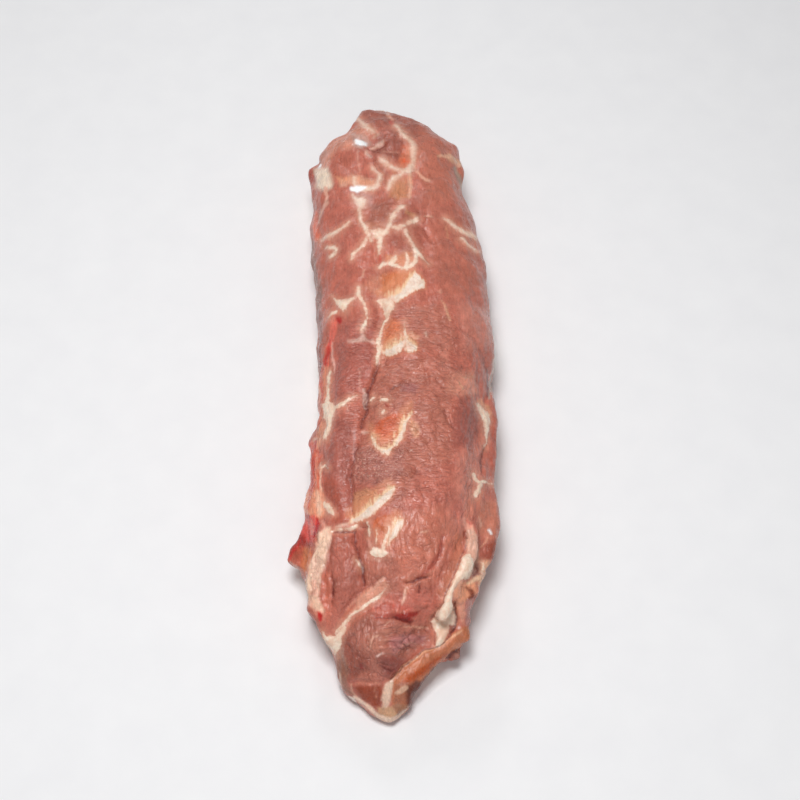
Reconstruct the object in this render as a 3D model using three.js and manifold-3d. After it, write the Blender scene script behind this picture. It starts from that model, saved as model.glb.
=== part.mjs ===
// A raw pork tenderloin in one piece, lying flat with the face that lay next to the bone upwards.
// Millimetres, +Z up. The muscle lies along Y, with its thin ragged tip at -Y and its thick end at +Y.
// The origin is under the middle of the whole, on the surface that the meat rests on.
// Every place below is given as x, y from the middle line and the tip, and moved to the origin last.

import * as THREE from 'three';
import { mergeVertices } from 'three/addons/utils/BufferGeometryUtils.js';
import Module from 'manifold-3d';

// Triangles: steps along and around the muscle, and along and around each roll fused to it.
const BODY_STEPS = { along: 76, around: 54 };
const ROLL_STEPS = { along: 15, around: 11 };

// Outline from above. The two edges have matching points, from the tip to the thick end.
const TIP = [-5, 1];
const THICK_END = [-10, 302];
const LEFT_EDGE = [
  [-11, 3.5], [-22, 12.5], [-26, 26], [-33, 40], [-37, 58], [-38, 80], [-36, 110], [-34.5, 140],
  [-35.5, 172], [-38, 205], [-40.5, 238], [-39.5, 264], [-35, 280], [-26, 292], [-19, 300],
];
const RIGHT_EDGE = [
  [2, 4], [6, 14], [14, 27], [24, 43], [33, 62], [37.5, 82], [38.5, 110], [39.5, 140],
  [40, 175], [37.5, 208], [33, 238], [29, 262], [27, 275], [17, 288], [1, 298],
];

// Side view: the height of the crown and of the underside at the tip, at each pair of points, at the end.
const CROWN = [3.5, 8, 15, 24, 33, 40, 43.5, 45, 46, 46, 45.5, 44, 42, 39, 33, 26, 17];
const UNDERSIDE = [2.5, -1, -4, -5, -6, -6, -6, -6, -6, -6, -6, -6, -6, -5, -1, 6, 14];

// Section: the widest level as a share of the height, and how square the upper and lower halves are.
const WIDEST_LEVEL = 0.44;
const UPPER_SQUARENESS = 2.35;
const LOWER_SQUARENESS = 2.5;
const ROLL_END_ROUNDNESS = 0.5;

// Relief: the half-width under which it fades towards the tips, and how far it also pushes sideways.
const RELIEF_FULL_AT = 12;
const RELIEF_SIDEWAYS = 0.6;
const RELIEF_UNDERNEATH = 0.4;
const WAVE_TWIST = 1.3;

// How far the steps crowd towards the two ends.
const END_CROWDING = 0.3;

// The block that levels the underside: across, along and deep.
const REST_BLOCK = [200, 400, 40];

// Seams between the muscles: long furrows in the upper face.
const FURROWS = {
  leftSeam: {
    depth: 3.4,
    reach: 4.2,
    path: [[-8, 180], [-8, 156], [-10, 136], [-14, 118], [-18, 102], [-20, 86], [-17, 62]],
  },
  leftSeamFoot: { depth: 2.6, reach: 4, path: [[-17, 62], [-14, 48], [-20, 34]] },
  farSeam: {
    depth: 1.8,
    reach: 4,
    path: [[-9, 268], [-19, 246], [-15, 226], [-9, 212], [-9, 194], [-8, 180]],
  },
  farBranch: { depth: 1.4, reach: 3.8, path: [[2, 262], [6, 248], [-2, 226], [8, 206], [12, 190]] },
  edgeSeam: { depth: 1.8, reach: 3.4, path: [[-24, 168], [-27, 146], [-28, 124], [-29, 98], [-30, 76]] },
  rightSeam: {
    depth: 3.4,
    reach: 4.2,
    path: [[37, 150], [34, 128], [32, 108], [31, 90], [29, 74], [25, 54], [19, 40], [10, 28], [1, 16]],
  },
  bulbCrease: { depth: 2.8, reach: 4.4, path: [[-24, 27], [-15, 36], [-5, 41], [2, 33], [12, 32]] },
  frontPleat: { depth: 1.6, reach: 3.6, path: [[-26, 54], [-28, 40]] },
  pressMark: { depth: 1.5, reach: 4.4, path: [[-4, 132], [4, 126], [8, 134]] },
};

// Raised cords and fat along the upper face.
const RIDGES = {
  edgeTendon: { rise: 2, reach: 3.4, path: [[-29, 166], [-32, 140], [-33, 118], [-34, 96], [-35, 80]] },
  tendonBand: { rise: 1.8, reach: 3.4, path: [[-20, 40], [-9, 46], [-4, 54]] },
  fatBand: { rise: 1, reach: 3.6, path: [[-16, 76], [-8, 84], [-2, 90]] },
};

// Broad swellings of the muscle: middle, half-length across and along, turn in degrees, and rise.
const SWELLINGS = {
  leftStrip: { middle: [-23, 118], across: 8, along: 42, turn: -4, rise: 2.2 },
  mainMuscle: { middle: [10, 108], across: 20, along: 62, turn: 4, rise: 1.8 },
  nearShoulder: { middle: [4, 62], across: 16, along: 18, turn: 0, rise: 1.6 },
  nearBulb: { middle: [-8, 22], across: 14, along: 11, turn: 20, rise: 4 },
  leftFoot: { middle: [-25, 46], across: 7, along: 16, turn: 6, rise: 2 },
  farLobe: { middle: [-27, 258], across: 13, along: 15, turn: 0, rise: 3 },
  farRightLobe: { middle: [20, 262], across: 11, along: 17, turn: 0, rise: 2 },
  farMiddle: { middle: [-2, 214], across: 9, along: 10, turn: 0, rise: 1.4 },
  farRim: { middle: [-13, 294], across: 8, along: 7, turn: -8, rise: 3 },
};

// Loose rolls of muscle, membrane and fat that grow out of the sides: x, y, z and radius along each.
const ROLLS = {
  sideStrip: [
    [36, 152, 22, 3], [36.5, 134, 22, 4], [36.5, 112, 22, 4.5], [35.5, 92, 22, 5],
    [35, 76, 21, 5.2], [33, 63, 20, 5.2], [29, 54, 19, 3.5],
  ],
  curledEdge: [[28, 58, 20, 3.5], [26, 50, 21, 5], [24, 42, 20, 4.8], [23.5, 35, 17, 4]],
  flapRoll: [
    [27.5, 38, 15, 3.2], [21, 31, 14.5, 4.6], [14, 25, 13, 5.2], [8, 21, 11, 5.4],
    [3.5, 15, 9, 5.2], [1, 8.5, 7, 4.6], [-1, 4, 5, 3.6],
  ],
  underFlap: [[13, 24, 7, 3], [18, 26, 7.5, 4], [22.5, 30, 8, 3]],
  fatLumps: [
    [27, 78, 29, 2], [28.5, 69, 30, 3.4], [28.5, 62, 30, 2.8], [25, 55, 30, 4], [23, 50, 30, 3.6],
    [20, 44, 29, 3.2], [17.5, 38, 27, 4.4], [15, 31, 23, 3],
  ],
  leftLobe: [[-34, 81, 21, 3], [-37.5, 73, 18, 4.6], [-40.8, 66, 14, 4.4], [-38, 57, 14, 3.4]],
  leftFat: [
    [-33, 76, 27, 3], [-32.5, 62, 27, 4], [-32, 49, 25, 4.5], [-30.5, 39, 22, 4], [-28, 31, 17, 3.5],
    [-25, 26, 11, 2.5],
  ],
  farNub: [[-38, 268, 22, 2.5], [-39.5, 263, 22, 3.2], [-38, 257, 24, 2.5]],
  edgeNub: [[-34, 118, 26, 2], [-35, 113, 24, 3], [-34.5, 106, 24, 2.5]],
  rightNub: [[26, 268, 26, 3], [27, 258, 26, 3.2], [27.5, 248, 25, 2]],
};

// Slow unevenness of the whole surface: waves along and across, with their height.
const WAVES = [
  { along: 61, across: 83, phase: 0.4, height: 0.55 },
  { along: 37, across: -47, phase: 2.1, height: 0.45 },
  { along: 23, across: 29, phase: 4.4, height: 0.28 },
  { along: -17, across: 21, phase: 1.2, height: 0.2 },
];

const RAW_PORK = new THREE.MeshStandardMaterial({
  name: 'raw_pork',
  color: 0xb96e5f,
  roughness: 0.38,
  metalness: 0,
});

function splineThrough(points) {
  return new THREE.CatmullRomCurve3(points, false, 'centripetal');
}

function outlineEdge(points) {
  return splineThrough([TIP, ...points, THICK_END].map(([x, y]) => new THREE.Vector3(x, y, 0)));
}

const leftEdge = outlineEdge(LEFT_EDGE);
const rightEdge = outlineEdge(RIGHT_EDGE);
const sideView = splineThrough(CROWN.map((crown, i) => new THREE.Vector3(crown, UNDERSIDE[i], 0)));
const middleLine = splineThrough(CROWN.map((crown, i) => {
  const share = i / (CROWN.length - 1);
  return leftEdge.getPoint(share).add(rightEdge.getPoint(share)).multiplyScalar(0.5);
}));

// Distance in plan from a point to a path of straight pieces.
function distanceToPath(x, y, path) {
  let nearest = Infinity;
  for (let i = 1; i < path.length; i += 1) {
    const [ax, ay] = path[i - 1];
    const [bx, by] = path[i];
    const dx = bx - ax;
    const dy = by - ay;
    const share = THREE.MathUtils.clamp(((x - ax) * dx + (y - ay) * dy) / (dx * dx + dy * dy), 0, 1);
    nearest = Math.min(nearest, Math.hypot(x - ax - share * dx, y - ay - share * dy));
  }
  return nearest;
}

function bell(distance, reach) {
  return Math.exp(-((distance / reach) ** 2));
}

// Height of the relief over the smooth muscle at a place on its upper face.
function reliefAt(x, y) {
  let relief = 0;
  for (const { depth, reach, path } of Object.values(FURROWS)) {
    relief -= depth * bell(distanceToPath(x, y, path), reach);
  }
  for (const { rise, reach, path } of Object.values(RIDGES)) {
    relief += rise * bell(distanceToPath(x, y, path), reach);
  }
  for (const { middle, across, along, turn, rise } of Object.values(SWELLINGS)) {
    const angle = THREE.MathUtils.degToRad(turn);
    const dx = x - middle[0];
    const dy = y - middle[1];
    const side = (dx * Math.cos(angle) + dy * Math.sin(angle)) / across;
    const ahead = (dy * Math.cos(angle) - dx * Math.sin(angle)) / along;
    relief += rise * bell(Math.hypot(side, ahead), 1);
  }
  return relief;
}

function wavesAt(x, y, turn) {
  return WAVES.reduce((sum, { along, across, phase, height }) => (
    sum + height * Math.sin((y / along + x / across) * Math.PI * 2 + phase + Math.sin(turn) * WAVE_TWIST)
  ), 0);
}

function signedPower(value, power) {
  return Math.sign(value) * Math.abs(value) ** power;
}

// A place on the muscle: share runs from the tip to the thick end, turn goes round from the crown.
function muscleSurface(share, turn) {
  const left = leftEdge.getPoint(share);
  const right = rightEdge.getPoint(share);
  const levels = sideView.getPoint(share);
  const crown = levels.x;
  const underside = levels.y;
  const widest = underside + (crown - underside) * WIDEST_LEVEL;
  const upper = Math.cos(turn) > 0;
  const power = 2 / (upper ? UPPER_SQUARENESS : LOWER_SQUARENESS);
  const reach = upper ? crown - widest : widest - underside;
  const out = signedPower(Math.sin(turn), power);
  const up = signedPower(Math.cos(turn), power);
  const middle = left.clone().add(right).multiplyScalar(0.5);
  const halfWidth = left.distanceTo(right) / 2;
  const place = middle.addScaledVector(right.clone().sub(left), out / 2);
  place.z = widest + reach * up;
  const fade = Math.min(1, halfWidth / RELIEF_FULL_AT);
  const upperShare = THREE.MathUtils.smoothstep(Math.cos(turn), -0.1, 0.25);
  const swell = fade * (upperShare * reliefAt(place.x, place.y) + wavesAt(place.x, place.y, turn));
  place.x += swell * Math.sin(turn) * RELIEF_SIDEWAYS;
  place.z += swell * Math.max(Math.cos(turn), -RELIEF_UNDERNEATH);
  return place;
}

// A sphere's grid of points, each moved to the place that placeAt gives for its share and turn.
function shapedSphere(steps, placeAt) {
  const geometry = new THREE.SphereGeometry(1, steps.around, steps.along);
  const uv = geometry.getAttribute('uv');
  const position = geometry.getAttribute('position');
  for (let i = 0; i < position.count; i += 1) {
    const row = Math.round((1 - uv.getY(i)) * steps.along) / steps.along;
    const atPole = row === 0 || row === 1;
    const turn = atPole ? 0 : uv.getX(i) * Math.PI * 2;
    const place = placeAt(row, turn);
    position.setXYZ(i, place.x, place.y, place.z);
  }
  geometry.deleteAttribute('normal');
  geometry.deleteAttribute('uv');
  return mergeVertices(geometry, 1e-4);
}

function muscleBody() {
  return shapedSphere(BODY_STEPS, (row, turn) => {
    const rounded = (1 - Math.cos(row * Math.PI)) / 2;
    const share = middleLine.getUtoTmapping(THREE.MathUtils.lerp(row, rounded, END_CROWDING));
    return muscleSurface(share, turn);
  });
}

// A tapered roll with round ends along a path of x, y, z and radius.
function rollOf(path) {
  const route = splineThrough(path.map(([x, y, z]) => new THREE.Vector3(x, y, z)));
  const radii = splineThrough(path.map(([, , , radius], i) => new THREE.Vector3(i, radius, 0)));
  const upwards = new THREE.Vector3(0, 0, 1);
  return shapedSphere(ROLL_STEPS, (row, turn) => {
    const share = (1 - Math.cos(row * Math.PI)) / 2;
    const ahead = route.getTangent(share);
    const side = new THREE.Vector3().crossVectors(ahead, upwards).normalize();
    const over = new THREE.Vector3().crossVectors(side, ahead);
    const radius = radii.getPoint(share).y * Math.sin(row * Math.PI) ** ROLL_END_ROUNDNESS;
    const place = route.getPoint(share);
    place.addScaledVector(side, radius * Math.sin(turn));
    return place.addScaledVector(over, radius * Math.cos(turn));
  });
}

const wasm = await Module();
wasm.setup();

// The solid inside a closed grid, whose triangles are turned over where the grid faces inwards.
function solidOf(geometry) {
  const vertProperties = new Float32Array(geometry.getAttribute('position').array);
  const triVerts = new Uint32Array(geometry.getIndex().array);
  const solid = new wasm.Manifold(new wasm.Mesh({ numProp: 3, vertProperties, triVerts }));
  if (solid.volume() > 0) {
    return solid;
  }
  const lastCorner = 2;
  const flipped = triVerts.map((corner, i) => triVerts[i + lastCorner - 2 * (i % 3)]);
  return new wasm.Manifold(new wasm.Mesh({ numProp: 3, vertProperties, triVerts: flipped }));
}

function geometryOf(solid) {
  const mesh = solid.getMesh();
  const geometry = new THREE.BufferGeometry();
  geometry.setAttribute('position', new THREE.BufferAttribute(new Float32Array(mesh.vertProperties), 3));
  geometry.setIndex(new THREE.BufferAttribute(new Uint32Array(mesh.triVerts), 1));
  return geometry;
}

// The underside is cut level where the weight of the meat presses it flat.
function belowTheRest() {
  const [across, along, deep] = REST_BLOCK;
  const slab = new THREE.BoxGeometry(across, along, deep);
  slab.translate(0, THICK_END[1] / 2, -deep / 2);
  slab.deleteAttribute('normal');
  slab.deleteAttribute('uv');
  return mergeVertices(slab);
}

function tenderloin() {
  let solid = solidOf(muscleBody());
  for (const path of Object.values(ROLLS)) {
    solid = solid.add(solidOf(rollOf(path)));
  }
  solid = solid.subtract(solidOf(belowTheRest()));
  const geometry = geometryOf(solid);
  geometry.computeBoundingBox();
  const middle = geometry.boundingBox.getCenter(new THREE.Vector3());
  geometry.translate(-middle.x, -middle.y, 0);
  geometry.computeVertexNormals();
  const mesh = new THREE.Mesh(geometry, RAW_PORK);
  mesh.name = 'tenderloin';
  return mesh;
}

const rawPorkTenderloin = new THREE.Group();
rawPorkTenderloin.name = 'raw_pork_tenderloin';
rawPorkTenderloin.add(tenderloin());

export default rawPorkTenderloin;
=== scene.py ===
"""Looks of the raw pork tenderloin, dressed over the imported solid. Blender 4.5, metres, tip towards -Y."""

import math

import bmesh
import bpy
import numpy as np
from mathutils import Euler, Matrix, Vector


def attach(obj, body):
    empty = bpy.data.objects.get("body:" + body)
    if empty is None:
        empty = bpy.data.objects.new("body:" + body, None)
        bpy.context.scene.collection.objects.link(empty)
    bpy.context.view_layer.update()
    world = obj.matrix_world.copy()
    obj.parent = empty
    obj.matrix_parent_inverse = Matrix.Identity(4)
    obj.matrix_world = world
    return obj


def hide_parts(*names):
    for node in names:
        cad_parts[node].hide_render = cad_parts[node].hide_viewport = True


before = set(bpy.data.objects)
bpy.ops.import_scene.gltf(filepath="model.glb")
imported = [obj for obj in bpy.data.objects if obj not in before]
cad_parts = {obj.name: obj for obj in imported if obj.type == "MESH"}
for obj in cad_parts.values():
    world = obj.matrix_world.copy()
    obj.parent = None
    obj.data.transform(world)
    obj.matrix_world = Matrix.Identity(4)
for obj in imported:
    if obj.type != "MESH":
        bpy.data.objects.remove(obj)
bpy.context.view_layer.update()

# The view that the drawn markings were traced in, taken as a 75 mm lens looking down on the meat from its tip
PICTURE_PIXELS = 800
LENS_MM = 75.0
SENSOR_MM = 36.0
LOOK_DOWN = math.radians(55.217)
CAMERA_PLACE = (0.0021, -0.4134, 0.595)
FOCAL_PIXELS = LENS_MM / SENSOR_MM * PICTURE_PIXELS

# The skin's mesh: the size of its squares in metres, and how far it is smoothed before and after it is
# made finer
SKIN_CELL = 0.00198
SKIN_SMOOTHING = 5
SHRINK_STEP = 0.55
SWELL_STEP = -0.565
LAST_STEP = 0.4
SKIN_CUTS = 2
TOP_SMOOTHING = 4
TOP_STEP = 0.5
MERGE_GAP = 1e-6
MM = 0.001

# The noise's grid is turned, so that it never lines up with the meat
GRID_TURN = np.array(Euler((0.5, 0.7, 0.3)).to_matrix())

# The slopes at the corners of that grid, and the numbers that pick one of them for a corner
SIGNS = [(a, b) for a in (1, -1) for b in (1, -1)]
SLOPES = np.array(
    [(a, b, 0) for a, b in SIGNS]
    + [(a, 0, b) for a, b in SIGNS]
    + [(0, a, b) for a, b in SIGNS]
)
CORNER_FACTORS = np.array([73856093, 19349663, 83492791], np.int64)
SEED_FACTOR = 7919
MIXING_FACTOR = 1274126177
SEED_SHIFT = 3.71
NOISE_GAIN = 1.5

# Pixels that stand for no marking near, and the limits that gaps are kept within
FAR_AWAY = 60.0
NO_MARK = 12.0
FAT_LIMIT = -6.0
RIM_LIMIT = -8.0
CREASE_LIMIT = -4.0

# A point counts as shown from this share on, and the cosines between which it turns out of sight
SHOWN = 0.05
OUT_OF_SIGHT = (-0.24, 0.0)

# Noises that are added up: strength, size in mm, seed
EDGE_SHAKES = [(1.0, 5.5, 11), (0.6, 2.2, 21)]
FAT_SHAKES = [(0.35, 1.8, 31), (0.5, 4.5, 32)]
SWELLS = [(0.6 * MM, 10, 51), (0.3 * MM, 4, 52)]

# Fat on the sides that the picture doesn't show, in mm across, along and up: long streaks, and islands
STREAK_SIZE = (13, 48, 10)
STREAK_SPREAD = 22
STREAK_HALF_WIDTH = 0.9
STREAK_BREAKS = (3.0, 16)
STREAK_SEED = 41
BREAK_SEED = 42
ISLAND_SEED = 43
ISLAND_SIZE = (16, 30, 10)
ISLAND_SPREAD = 13
ISLAND_RARITY = 5.5

# Relief in metres: thin and thick fat, the fans' rims, and the height over which it fades in above the floor
THIN_FAT = 0.22 * MM
THICK_FAT = 0.5 * MM
RIM_HEIGHT = 0.25 * MM
FADE_IN = (0.2 * MM, 4.0 * MM)

# Folds and creases: how their noise swirls in mm, the middle of its waves, and how wide a crease is in pixels
SWIRL = 2.4
SWIRL_SIZE = 12
SWIRL_SEED = 61
FOLD_SEED = 71
FINE_FOLD_SEED = 171
WAVE_MIDDLE = 0.7
HEIGHT_MIDDLE = 0.5
CREASE_WIDTH = 1.5

# How fine the material's noises are, in waves for each metre
FIBRE_SCALE = 950
THREAD_SCALE = 1900
WRINKLE_SCALE = 400
FINE_WRINKLE_SCALE = 800
VALLEY_SCALE = 160
MOTTLE_SCALE = 170
GRAIN_SCALE = 1350
STREAK_SCALE = 1000
RIM_PATCH_SCALE = 420
FAT_PATCH_SCALE = 280
FAT_EDGE_SCALE = 900
CREASE_EDGE_SCALE = 700
GLOSS_SCALE = 420
FLOOR_SCALE = 60

# Where the material's noises begin and end, and how much they darken and lighten the flesh
NOISE_RANGE = (0.3, 0.7)
PATCH_RANGE = (0.35, 0.65)
MOTTLE_TONES = (0.86, 1.13)
FIBRE_TONES = (0.92, 1.09)
THREAD_TONES = (0.93, 1.06)
BUMP_HEIGHT = 0.00065

# Colours on a screen
FLESH = (196, 117, 102)
# Dark lines of painted shade in the valleys of the flesh's wrinkles and folds
VALLEY_SHADE_RED = (134, 44, 40)
# Pale specks of fat, partly painted glints of the wet film
SPECK_AND_GLINT_PINK = (238, 196, 182)
RIM_ORANGE = (228, 150, 112)
RIM_CREAM = (246, 208, 168)
RIM_WHITES = ((234, 204, 184), (245, 226, 210))
FAT_CREAMS = ((240, 204, 178), (255, 236, 214))
VEIL_PINK = (226, 164, 138)
# Painted shade in the creases
CREASE_SHADE_BROWN = (98, 34, 30)
FLOOR_GREYS = ((236, 236, 238), (243, 243, 244))
WHITE = (1.0, 1.0, 1.0, 1.0)

# A wet film deepens the colours that lie under it
FILM_TINT = (0.935, 0.85, 0.785, 1.0)

# The floor, in metres, and the studio: each light's place, what it is turned to, its size and its watts
FLOOR_HALF = 2.5
FLOOR_GAP = 0.0002
ROOM_STRENGTH = 0.19
LIGHTS = {
    "overhead_light": ((-0.07, -0.1, 0.85), (0, -0.02, 0), (0.3, 0.3), 5.3),
    "window_light": ((-0.12, 0.72, 0.5), (0, 0.03, 0.02), (0.14, 0.12), 1.0),
    "front_fill": ((0.1, -0.95, 0.55), (0, -0.05, 0.02), (0.7, 0.5), 1.6),
}

# Small shifts of the outline, in pixels of the picture, set by measuring how far the edges were off: where,
# how far they reach, and how far right and down
NUDGES = {
    "far_slope": ((341, 129), 13, (6, 3.5)),
    "far_corner": ((364, 110), 6, (-3, -1.5)),
    "far_nub": ((318, 165), 5, (3, 0)),
    "left_upper": ((313, 215), 10, (3.5, 0)),
    "left_waist": ((310, 262), 9, (-3.5, 0)),
    "left_hollow": ((314, 418), 10, (5, 0)),
    "left_above": ((311, 430), 6, (3.5, 0)),
    "left_lower": ((309, 482), 9, (4.5, 0)),
    "left_bulge": ((305, 507), 8, (-3.5, 0)),
    "lobe_slope": ((293, 536), 14, (4.5, 0)),
    "lobe_point": ((288, 560), 5, (-2.5, 0.5)),
    "lobe_below": ((296, 572), 5, (3, -2)),
    "left_foot": ((310, 612), 9, (-6, 0)),
    "right_upper": ((467, 192), 14, (-4, 0)),
    "right_lower": ((499, 481), 22, (-5, 0)),
    "right_rim": ((480, 577), 6, (6.5, 0)),
    "right_waist": ((475, 595), 5, (1.5, 0)),
    "flap_corner": ((464, 639), 8, (7, 1)),
    "flap_lobe": ((459, 657), 7, (4, 2.5)),
    "far_shoulder": ((456, 152), 8, (1, -4)),
    "far_top": ((386, 109), 14, (0, 2.5)),
    "tip_left": ((371, 712), 7, (-2, 1.5)),
    "tip": ((392, 719), 15, (0, 5)),
    "tip_right": ((409, 708), 7, (3.5, 0)),
}

# Markings are lists of points in pixels of the picture, traced: (x, y, half-width) for a stroke,
# and (x, y) for the outline of a patch. First the fat, which is raised a little
FAT = {
    "far_rim": [(358, 119, 1), (363, 124.5, 1.8), (369, 129, 2), (374, 131.5, 1)],
    "far_long": [(395, 126.5, 0.8), (401, 132, 1.4), (407, 138, 1.8), (412, 143.5, 2.4),
        (413.5, 150, 2.7), (413.2, 156, 2.2), (413, 163, 1.8), (411, 169, 3), (409, 171, 3.4)],
    "knot_left": [(382, 160.5, 1.2), (386, 163, 1.9), (392, 166.3, 1.6), (397.5, 169, 1.3),
        (404, 171, 1.8), (409, 171.5, 3)],
    "knot_arm": [(404, 172.5, 1.2), (398.5, 177, 2.2), (393, 180, 3), (390, 183.5, 2), (387.8, 188, 0.8)],
    "lobe_hook": [(373, 168, 1.6), (376.5, 171, 1.3), (380, 174.5, 1.5), (379.5, 179.5, 1.8),
        (376.5, 185, 1.9), (373, 189.5, 1.6)],
    "lobe_stub": [(353.5, 177, 1), (354.5, 181.5, 1.9), (356, 184, 1.6)],
    "lobe_pad": [(356, 184.5), (366, 186), (374, 185.5), (375.5, 188), (371, 191), (364, 190.5),
        (357, 187.5)],
    "seam_top": [(353, 196), (357, 198), (362, 197.5), (366, 200), (365.5, 205), (362, 208.5),
        (359.5, 210), (357, 205.5), (354, 200)],
    "seam_down": [(359, 209, 1.5), (361, 219, 1.1), (364, 227, 1.8), (368, 233, 1.9), (371, 240, 1)],
    "seam_left_foot": [(368.5, 236, 1.1), (363.5, 243, 1.5), (358.5, 249, 1.2), (354, 254.5, 1.2),
        (351.5, 258.5, 0.6)],
    "yoke": [(371, 230.5), (378, 230.5), (385.5, 228), (388.5, 222.5), (391, 216.5), (394.5, 211.5),
        (399, 206), (402, 204.5), (406, 205.5), (402, 209), (397.5, 213), (393.5, 219), (391, 226),
        (387.5, 232.5), (382.5, 236), (381.5, 243), (381.5, 249), (380, 255), (378.5, 255), (378, 247),
        (377.5, 240.5), (373.5, 236)],
    "middle_blob": [(393.5, 227.5, 1.2), (398.5, 228.2, 1.8), (403.5, 226, 1.5)],
    "middle_dash": [(407.5, 223.5, 1.3), (412, 222, 1.7), (417, 219.2, 1.3)],
    "middle_string": [(405, 230, 1.2), (407.8, 234, 1.2), (411, 242, 0.8), (414.5, 248, 1.2),
        (416.5, 252.5, 2), (419.5, 256, 1.3), (424, 260.5, 0.8), (428, 264, 0.6)],
    "crown_base": [(378.8, 267, 1.2), (383, 264.3, 1.6), (389.5, 264.5, 1.3), (396, 266, 1.7),
        (403.5, 268, 1.5), (410.5, 266, 1.8), (415, 262, 1.8), (416, 256, 1.7)],
    "crown_tooth_one": [(392.5, 263.5, 2.7), (394.2, 259.5, 1.7), (395.7, 255.5, 0.6)],
    "crown_tooth_two": [(406.5, 267, 2.5), (407.8, 260.5, 1.7), (406.5, 254.5, 0.8)],
    "fan_one_foot": [(375, 302), (380.5, 299.5), (391, 299), (395.5, 305), (393.5, 310.5), (390, 313.5),
        (387, 320), (385, 318.5), (384, 311.5), (380.5, 306)],
    "seam_thread": [(358, 288, 1.7), (358.7, 293, 2.1), (361, 299, 1.4), (365, 305, 0.9),
        (367.3, 312, 0.8), (367, 318, 0.9), (364, 324, 1.2), (361.5, 329, 1.3)],
    "left_yoke": [(333, 297.5), (338.5, 300.5), (346, 300.5), (354, 297.5), (351.5, 303), (348, 308.5),
        (344.5, 311.5), (338.5, 308.5), (336, 303)],
    "edge_fan": [(321, 241, 0.8), (329, 237, 1.6), (337.5, 232.5, 1.4), (344, 226.5, 0.8),
        (349.5, 221.5, 0.5)],
    "edge_hook": [(326, 247.5, 0.8), (331, 246.5, 1.6), (335, 248.5, 1.7), (334, 253, 1.4),
        (330, 257.5, 0.7)],
    "right_slope": [(444, 219.5, 0.6), (449.5, 222.5, 1.1), (457, 228, 0.9), (463, 231, 1),
        (469, 234.5, 1.4), (476, 238, 1.8)],
    "right_slope_low": [(461, 237.5, 1.4), (467, 244.5, 1), (472.5, 248.5, 0.8), (478, 252, 0.6)],
    "middle_line": [(385.5, 320, 1.1), (382, 328, 0.8), (379.8, 335, 1.4), (378.5, 342, 2.2),
        (378.8, 349, 1.9), (377.8, 357, 1.2), (377.5, 364, 0.5)],
    "fan_two_side": [(404.4, 322, 0.5), (404.8, 331, 0.8), (406, 339, 1.1), (407.5, 345, 1.5)],
    "strip_cap": [(329.7, 317.8, 0.9), (332.5, 314.3, 1.3), (336.5, 312.6, 1.1)],
    "strip_line": [(329.8, 372, 0.7), (328.8, 382, 1.3), (327.8, 392, 1.4), (327.6, 402, 2.2)],
    "strip_pad": [(321.5, 404), (330, 402.5), (336.5, 405.5), (335, 414), (332, 422), (330.5, 430),
        (326, 440), (322.5, 441), (323.5, 432), (326, 424), (323.5, 415)],
    "strip_branch": [(334, 408.5, 1.9), (338, 406.5, 1.5), (342.7, 403.7, 1.6), (346, 400.8, 1),
        (353, 397.2, 0.9), (357, 395.8, 0.5)],
    "seam_bit": [(370, 401, 0.9), (374, 398, 0.7)],
    "speck_one": [(381.8, 399.8, 1.1), (387, 400, 1.2)],
    "speck_two": [(381.6, 412.8, 1.6), (383.5, 411, 1.1)],
    "flame": [(477.5, 403), (481, 404.5), (483.5, 410), (488.5, 416), (489.5, 422), (488, 430),
        (486.5, 440), (484.5, 447.5), (484.8, 438), (484, 428), (481, 419), (478.5, 411)],
    "edge_line": [(324.5, 503, 1), (327.5, 507, 2.3), (330.5, 511, 2.4), (333, 514.5, 1)],
    "edge_nick": [(322, 468, 0.7), (324.5, 465.3, 0.7), (328, 468.5, 0.6)],
    "right_hook": [(473, 474, 1.2), (474.5, 479, 1.7), (478.4, 482.5, 1.8), (483.7, 482, 1.2),
        (491.5, 484, 0.4)],
    "right_hook_low": [(480, 485, 2.2), (478, 488.5, 1.8), (477.4, 491, 2.4), (475.6, 496.5, 1.6)],
    "cut_line": [(331, 531, 0.5), (343, 529.5, 0.7), (352, 529.3, 0.7), (357, 526, 1.4)],
    "veil_tail": [(368, 522.5, 1), (369.4, 530, 1.4), (369.6, 536.5, 0.5)],
    "white_pad": [(370, 552), (373, 547.5), (380, 549), (386, 550.5), (387.5, 553), (383.5, 555.8),
        (376.7, 556.5), (371.5, 554.8)],
    "fan_five_mid": [(389.5, 526, 0.5), (386, 538, 1.1), (383, 548, 1.3)],
    "fan_five_outer": [(375.3, 530, 0.4), (376.7, 543, 0.7)],
    "groove_chip": [(356.7, 559.5, 0.8), (359.5, 565.5, 1.1), (362, 569, 0.7)],
    "tendon_edge": [(387, 587, 0.4), (381, 594, 0.8), (375.3, 599, 1.4), (366.6, 604.8, 1.8),
        (358.5, 610.5, 1.5), (351, 616, 1.3), (345.5, 621.5, 1.5), (341, 628, 1.5), (336, 632.5, 1.1)],
    "foot": [(323, 631), (327, 635), (333, 635.5), (339, 632), (344, 626), (346.5, 626), (342, 638),
        (339.5, 648), (337.5, 655), (334.5, 652), (329, 646), (324.5, 640)],
    "stripe": [(463.2, 555.5), (470.4, 554.7), (473.3, 559.8), (474, 565.5), (471.8, 571.3), (469, 578.5),
        (460.3, 580), (456, 587.2), (453, 597.3), (450.9, 605.9), (445.9, 608.8), (441.6, 605.9),
        (444.4, 597.3), (450.2, 590), (454.5, 577), (458.9, 567)],
    "stripe_lumps": [(443.2, 600.8), (450.3, 599.7), (453.2, 606.7), (455, 616), (455, 623), (449, 625.4),
        (447.3, 633.6), (444.4, 640.6), (438.6, 646.4), (435, 645.3), (436.2, 638.2), (435.6, 631.2),
        (431.6, 621.9), (433.9, 616), (439.7, 609)],
    "rim_ribs": [(481.8, 562, 0.7), (483.5, 568, 1), (481, 573, 0.7)],
}

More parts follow.
